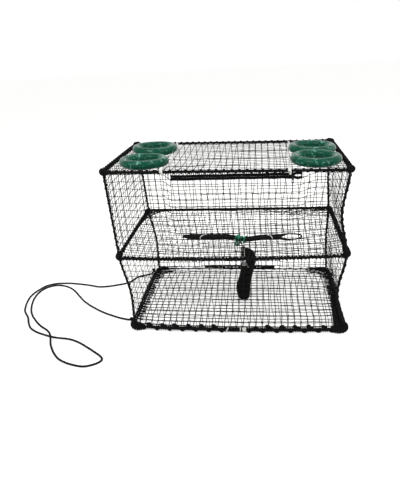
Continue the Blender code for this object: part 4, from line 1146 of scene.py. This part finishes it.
def makeZipper(z):
    left, right, tape, off, pitch = z["left"], z["right"], z["tape"], z["tapeHalf"], z["toothPitch"]
    xs = [left + (right - left) * step / 130 for step in range(131)]
    for half, sign in (("Upper", 1), ("Lower", -1)):
        path = [vec(x, z["y"] + z["wave"] * sin(90 * x + sign),
                    z["middle"] + sign * (off + zipPart(z, x)) + z["wave"] * sin(55 * x)) for x in xs]
        pile = MeshPile().add(*bandMesh(path, tape, z["thick"]))
        for edge, radius in ((0.46, z["hem"]), (-0.1, z["hem"] * 0.5)):
            seam = [spot + vec(0, -z["thick"] * 0.5, sign * edge * tape) for spot in path]
            pile.tube(seam, radius, strands=2, lay=0.005)
        makePiece("zipTape" + half, pile, "black_tape", "top", limp=False)
        pile = MeshPile()
        teeth = [left + 0.003 + pitch * (number + (0.5 if sign < 0 else 0))
                 for number in range(int((z["partStart"] - left - 0.004) / pitch))]
        teeth += [z["partStart"] + 0.001 + pitch * number for number in range(9)]
        for x in teeth:
            high = z["middle"] + sign * (z["toothOff"] + zipPart(z, x))
            high += (x < z["partStart"]) * z["wave"] * sin(55 * x)
            pile.blob((x, z["y"] - 0.0006, high), z["tooth"], rings=4, sides=6)
        makePiece("zipTeeth" + half, pile, "zip_metal", "top", limp=False)
    dice = random.Random(111)
    route = []
    count = 2 * round((right - left) / z["lacingStep"])
    for step in range(count + 1):
        x = left + (right - left) * step / count + dice.uniform(-1, 1) * 0.0012
        forward, high = (0.0072, top["z"] + 0.001) if step % 2 else (0.0016, z["middle"] + off - 0.0008)
        route.append(vec(x, z["y"] - forward * (1 if step % 4 < 2 else 0.6), high))
    pile = MeshPile().cord(route, 0.0024, z["lacing"], 6, strands=2, lay=0.006)
    for end in (left, right):
        foot, head = (vec(end, z["y"], high) for high in (z["middle"] - off - 0.003, top["z"]))
        pile.tube(straight(foot, head, 8), 0.0016, 7, strands=2, lay=0.006)
    makePiece("zipLacing", pile, "black_rope", "top")


makeZipper(zipper)
slide = {
    "place": vec(0.203, -0.26, 0.5943), "pin": -0.0047, "half": 0.005, "plateY": 0.002, "plate": 0.0012,
    "pull": (0.0065, 0.0013, 0.024), "pinRadius": 0.0008, "head": 0.0018,
    "outline": [(1.0, 0.52), (0.92, 0.86), (0.6, 1.0), (0.1, 0.93), (-0.5, 0.72), (-0.9, 0.62), (-1.0, 0.45)],
}


# A slab between two heights along y: its outline is in x and z, its edges are rounded, and a hole may pass through it
def slabMesh(outline, place, thick, bevel, hole=()):
    half, count = thick / 2, len(outline)
    verts = []
    levels = [(bevel, -half), (0.3 * bevel, 0.3 * bevel - half), (0, bevel - half)]
    levels += [(shrink, -y) for shrink, y in reversed(levels)]
    for shrink, y in levels:
        for index, (x, z) in enumerate(outline):
            way = (Vector(outline[(index + 1) % count]) - Vector(outline[index - 1])).normalized()
            verts.append(place + vec(x - way.y * shrink, y, z + way.x * shrink))
    faces = ringFaces(len(levels), count, flip=True)
    last, inner = (len(levels) - 1) * count, len(verts)
    if not hole:
        return verts, faces + [tuple(range(count)), tuple(range(last + count - 1, last - 1, -1))]
    verts += [place + vec(x, y, z) for y in (-half, half) for x, z in hole]
    for step in range(count):
        after = (step + 1) % count
        faces += [(step, after, inner + after, inner + step),
                  (last + after, last + step, inner + count + step, inner + count + after),
                  (inner + step, inner + after, inner + count + after, inner + count + step)]
    return verts, faces


# An oval in x and z, squarer for a smaller power, taken backwards
def ovalOutline(x, z, halfX, halfZ, power, taper=0.0, count=28):
    points = []
    for angle in turns(count):
        across, high = (copysign(abs(way) ** power, way) for way in (cos(angle), sin(angle)))
        points.append((x + halfX * across * (1 + taper * high), z + halfZ * high))
    return points[::-1]


def crossBar(pile, spot, reach, radius, steps, sides):
    across = vec(reach, 0, 0)
    pile.tube(straight(spot - across, spot + across, steps), radius, sides)


def makeSlider(s):
    place, half, deep, plate = s["place"], s["half"], s["plateY"], s["plate"]
    wide, thick, long = s["pull"]
    pin = place + vec(0, s["pin"], 0)
    outline = s["outline"] + [(x, -z) for x, z in s["outline"][::-1]] + [(0.86, 0.0)]
    outline = [(x * half, z * half) for x, z in outline[::-1]]
    pile = MeshPile()
    for side in (-1, 1):
        pile.add(*slabMesh(outline, place + vec(0, side * deep, 0), plate, 0.0003))
    pile.add(*slabMesh(ovalOutline(0.003, 0, 0.0014, 0.0007, 1.0, count=12), place, 2 * deep, 0.0001))
    for side in (-1, 1):
        front = place + vec(side * (wide / 2 + 0.0011), -deep - plate / 2, 0)
        pile.add(*bandMesh(arc(front, (0, 0, 0.0026), (0, -0.0038, 0), 0, 180, 12), 0.0012, 0.001, (1, 0, 0), 8))
    crossBar(pile, pin, wide / 2 + 0.0012, s["pinRadius"], 8, 10)
    makePiece("zipSlider", pile, "zip_metal", "slider", limp=False)
    outline = ovalOutline(0, -long / 2 - 0.0004, wide / 2, long / 2 - 0.0006, 0.5, taper=-0.12)
    hole = ovalOutline(0, -long * 0.72, wide * 0.24, long * 0.14, 0.8)
    pile = MeshPile().add(*slabMesh(outline, pin, thick, 0.0003, hole))
    crossBar(pile, pin, wide * 0.46, s["head"], 6, 12)
    for row in range(4):
        crossBar(pile, pin + vec(0, -thick / 2, -long * (0.18 + 0.07 * row)), wide * 0.3, 0.0004, 4, 6)
    makePiece("zipPull", pile, "zip_metal", "pull", limp=False)


makeSlider(slide)
print("zipper made")

# Entrance at the back: two corded lips, the upper one laced, with a pale thread left along the lower one
lips = {
    "y": 0.26, "wave": 0.0008, "lay": 0.02, "steps": 70, "sides": 14, "seed": 121, "pitch": 0.036,
    "Lower": {"z": 0.0145, "radius": 0.0032, "close": 0.0026, "lacing": 0.00102},
    "Upper": {"z": 0.0242, "radius": 0.0042, "close": -0.0026, "lacing": 0.0017},
    "thread": {"radius": 0.0017, "left": -0.2, "right": -0.068, "ends": (
        (-0.008, -0.002, -0.006), (-0.011, 0.001, 0.004), (-0.006, -0.003, 0.008))},
}


def makeLips(e):
    dice = random.Random(e["seed"])
    steps, sides = e["steps"], e["sides"]
    left, length = entrance["left"], entrance["right"] - entrance["left"]
    for name in ("Lower", "Upper"):
        lip = e[name]
        path = []
        for step in range(steps + 1):
            share = step / steps
            end = 1 - sin(pi * share) ** 0.5
            path.append(vec(left + length * share, e["y"] + e["wave"] * sin(21 * share + len(name)),
                            lip["z"] + e["wave"] * dice.uniform(-1, 1) + lip["close"] * end))
        pile = MeshPile().tube(path, lip["radius"], 10, strands=3, lay=e["lay"], depth=0.2)
        lacing = []
        count = round(length / e["pitch"] * sides)
        reach = lip["radius"] + lips["Upper"]["lacing"] * 0.7
        for step in range(count + 1):
            spot = path[min(steps, round(step / count * steps))]
            angle = 2 * pi * step / sides
            lacing.append(vec(left + length * step / count, spot.y + reach * sin(angle), spot.z + reach * cos(angle)))
        makePiece("entranceLip" + name, pile.tube(lacing, lip["lacing"]), "black_rope", "base")
    thread = e["thread"]
    radius = thread["radius"]
    route = []
    for step in range(13):
        share = step / 12
        route.append(vec(thread["left"] + (thread["right"] - thread["left"]) * share,
                         e["y"] - e["Lower"]["radius"] - radius - 0.001 + 0.0006 * sin(9 * share),
                         e["Lower"]["z"] + 0.003 - 0.005 * share + 0.0012 * sin(14 * share)))
    pile = MeshPile().cord(route, 0.004, radius, lay=0.01)
    for way in thread["ends"]:
        tail = [route[0], route[0] + Vector(way) * 0.6 + vec(0, 0, 0.002), route[0] + Vector(way)]
        pile.cord(tail, 0.002, radius * 0.7, 6, strands=2, lay=0.006)
    pile.blob(route[0], (0.0036, 0.0028, 0.003), rings=6, sides=9, seed=12, rough=0.15)
    makePiece("entranceThread", pile, "white_cord", "base")


makeLips(lips)
print("entrance lips made")

# Gathered netting: strands drawn over the side bars of the floor, folds round its back corners, and the slack
# of the middle net at its back corners. A run has its first and last y and its step.
gathers = {
    "slant": 0.04, "folds": 9, "foldRadius": 0.0011, "floor": 0.0002,
    "sides": {"Left": {"sign": -1, "runs": [(-0.215, 0.225, 0.019)], "twins": 3, "out": 0.0185, "in": 0.0185,
                       "strand": 0.0019, "ropes": 0},
              "Right": {"sign": 1, "runs": [(-0.215, 0.06, 0.008), (0.06, 0.225, 0.013)], "twins": 2,
                        "out": 0.0128, "in": 0.0221, "strand": 0.0016, "ropes": 9}},
    "middleStrand": 0.0011, "edge": 0.243,
}


def overBar(g, s, bar, y, dice):
    sign = s["sign"]
    out = sign * (s["out"] + dice.uniform(-1, 1) * 0.003)
    inside = -sign * (s["in"] + dice.uniform(-1, 1) * 0.005)
    y += dice.uniform(-1, 1) * 0.003
    slant = g["slant"] * dice.uniform(0.8, 1.2)
    return [vec(bar + x, y + share * slant, z) for x, share, z in
            ((out, -0.35, 0.0024), (sign * 0.008, -0.1, 0.013), (-sign * 0.003, 0.1, 0.018),
             (-sign * 0.013, 0.35, 0.0105), (inside, 0.65, 0.0018))]


def makeFloorGather(g, side, s, dice):
    sign, lean = s["sign"], bottom["lean"]
    bar = sign * halfLength + lean[0]
    pile = MeshPile()
    for first, last, step in s["runs"]:
        for index in range(round((last - first) / step)):
            for twin in range(s["twins"]):
                route = overBar(g, s, bar, first + step * index + lean[1] + 0.003 * twin, dice)
                pile.cord(route, 0.005, s["strand"] * dice.uniform(0.7, 1.35), 5, strands=0)
    for rope in range(s["ropes"]):
        spread = 0.004 + 0.003 * rope
        route = [vec(bar - sign * (spread * (1 - step / 8) ** 0.7 + 0.004), 0.27 * step / 8 - 0.222,
                     0.0085 + dice.uniform(-1, 1) * 0.003 - 0.0035 * rope / 9) for step in range(9)]
        pile.cord(route, 0.008, 0.003 * dice.uniform(0.75, 1.1), lay=0.02)
    centre = vec(bar - sign * 0.058, halfDepth + lean[1] - 0.058, 0)
    for fold in range(g["folds"]):
        size = 0.03 + 0.005 * fold
        route = []
        tilt = dice.uniform(-8, 8)
        for step in range(10):
            angle = radians(-35 + tilt + (160 + dice.uniform(-6, 6)) * step / 9)
            reach = size * (1 + dice.uniform(-1, 1) * 0.03)
            lift = 0.003 + 0.011 * max(0.0, (size - 0.046) / 0.026) + 0.002 * sin(step)
            route.append(centre + vec(sign * reach * cos(angle), reach * sin(angle), lift))
        pile.cord(route, 0.006, g["foldRadius"] * dice.uniform(0.8, 1.5), 5, strands=0)
    pile.raiseTo(g["floor"])
    makePiece("floorGather" + side, pile, "black_net", "base")


def makeMiddleGathers(g):
    dice = random.Random(140)
    pile = MeshPile()

    def onNet(x, y, lift, most=1.0):
        return vec(x + middle["lean"][0], min(y, most) + middle["lean"][1], sagAt(x, y) + lift)

    for strand in range(9):
        size = 0.25 + 0.75 * strand / 8
        route = []
        for step in range(12):
            angle = radians(90 * step / 11)
            x = -0.392 + 0.098 * size * (1 - cos(angle)) + dice.uniform(-1, 1) * 0.0012
            y = g["edge"] - 0.165 * size * (1 - sin(angle)) + dice.uniform(-1, 1) * 0.0012
            route.append(onNet(x, y, 0.0014 + 0.0008 * dice.random()))
        pile.cord(route, 0.008, g["middleStrand"] if strand < 8 else 0.0017, 5, strands=0)
    for strand in range(7):
        route = []
        swing = dice.uniform(0, 6)
        for step in range(34):
            x = 0.385 - (0.27 - 0.018 * strand) * step / 33
            y = 0.236 - 0.0085 * strand + 0.0075 * sin(0.9 * step + swing) + dice.uniform(-1, 1) * 0.003
            route.append(onNet(x, y, 0.003 + 0.0024 * sin(0.7 * step + 2 * swing), g["edge"]))
        pile.cord(route, 0.005, g["middleStrand"], 5, strands=0)
    route = [onNet(0.38 - 0.52 * step / 39, 0.221 + 0.02 * (step / 39) ** 2 + dice.uniform(-1, 1) * 0.0012, 0.0012)
             for step in range(40)]
    pile.cord(route, 0.008, 0.0016, 5, strands=0)
    makePiece("middleGathers", pile, "black_net", "middle")


for number, (side, s) in enumerate(gathers["sides"].items()):
    makeFloorGather(gathers, side, s, random.Random(130 + number))
makeMiddleGathers(gathers)
print("gathered netting laid")
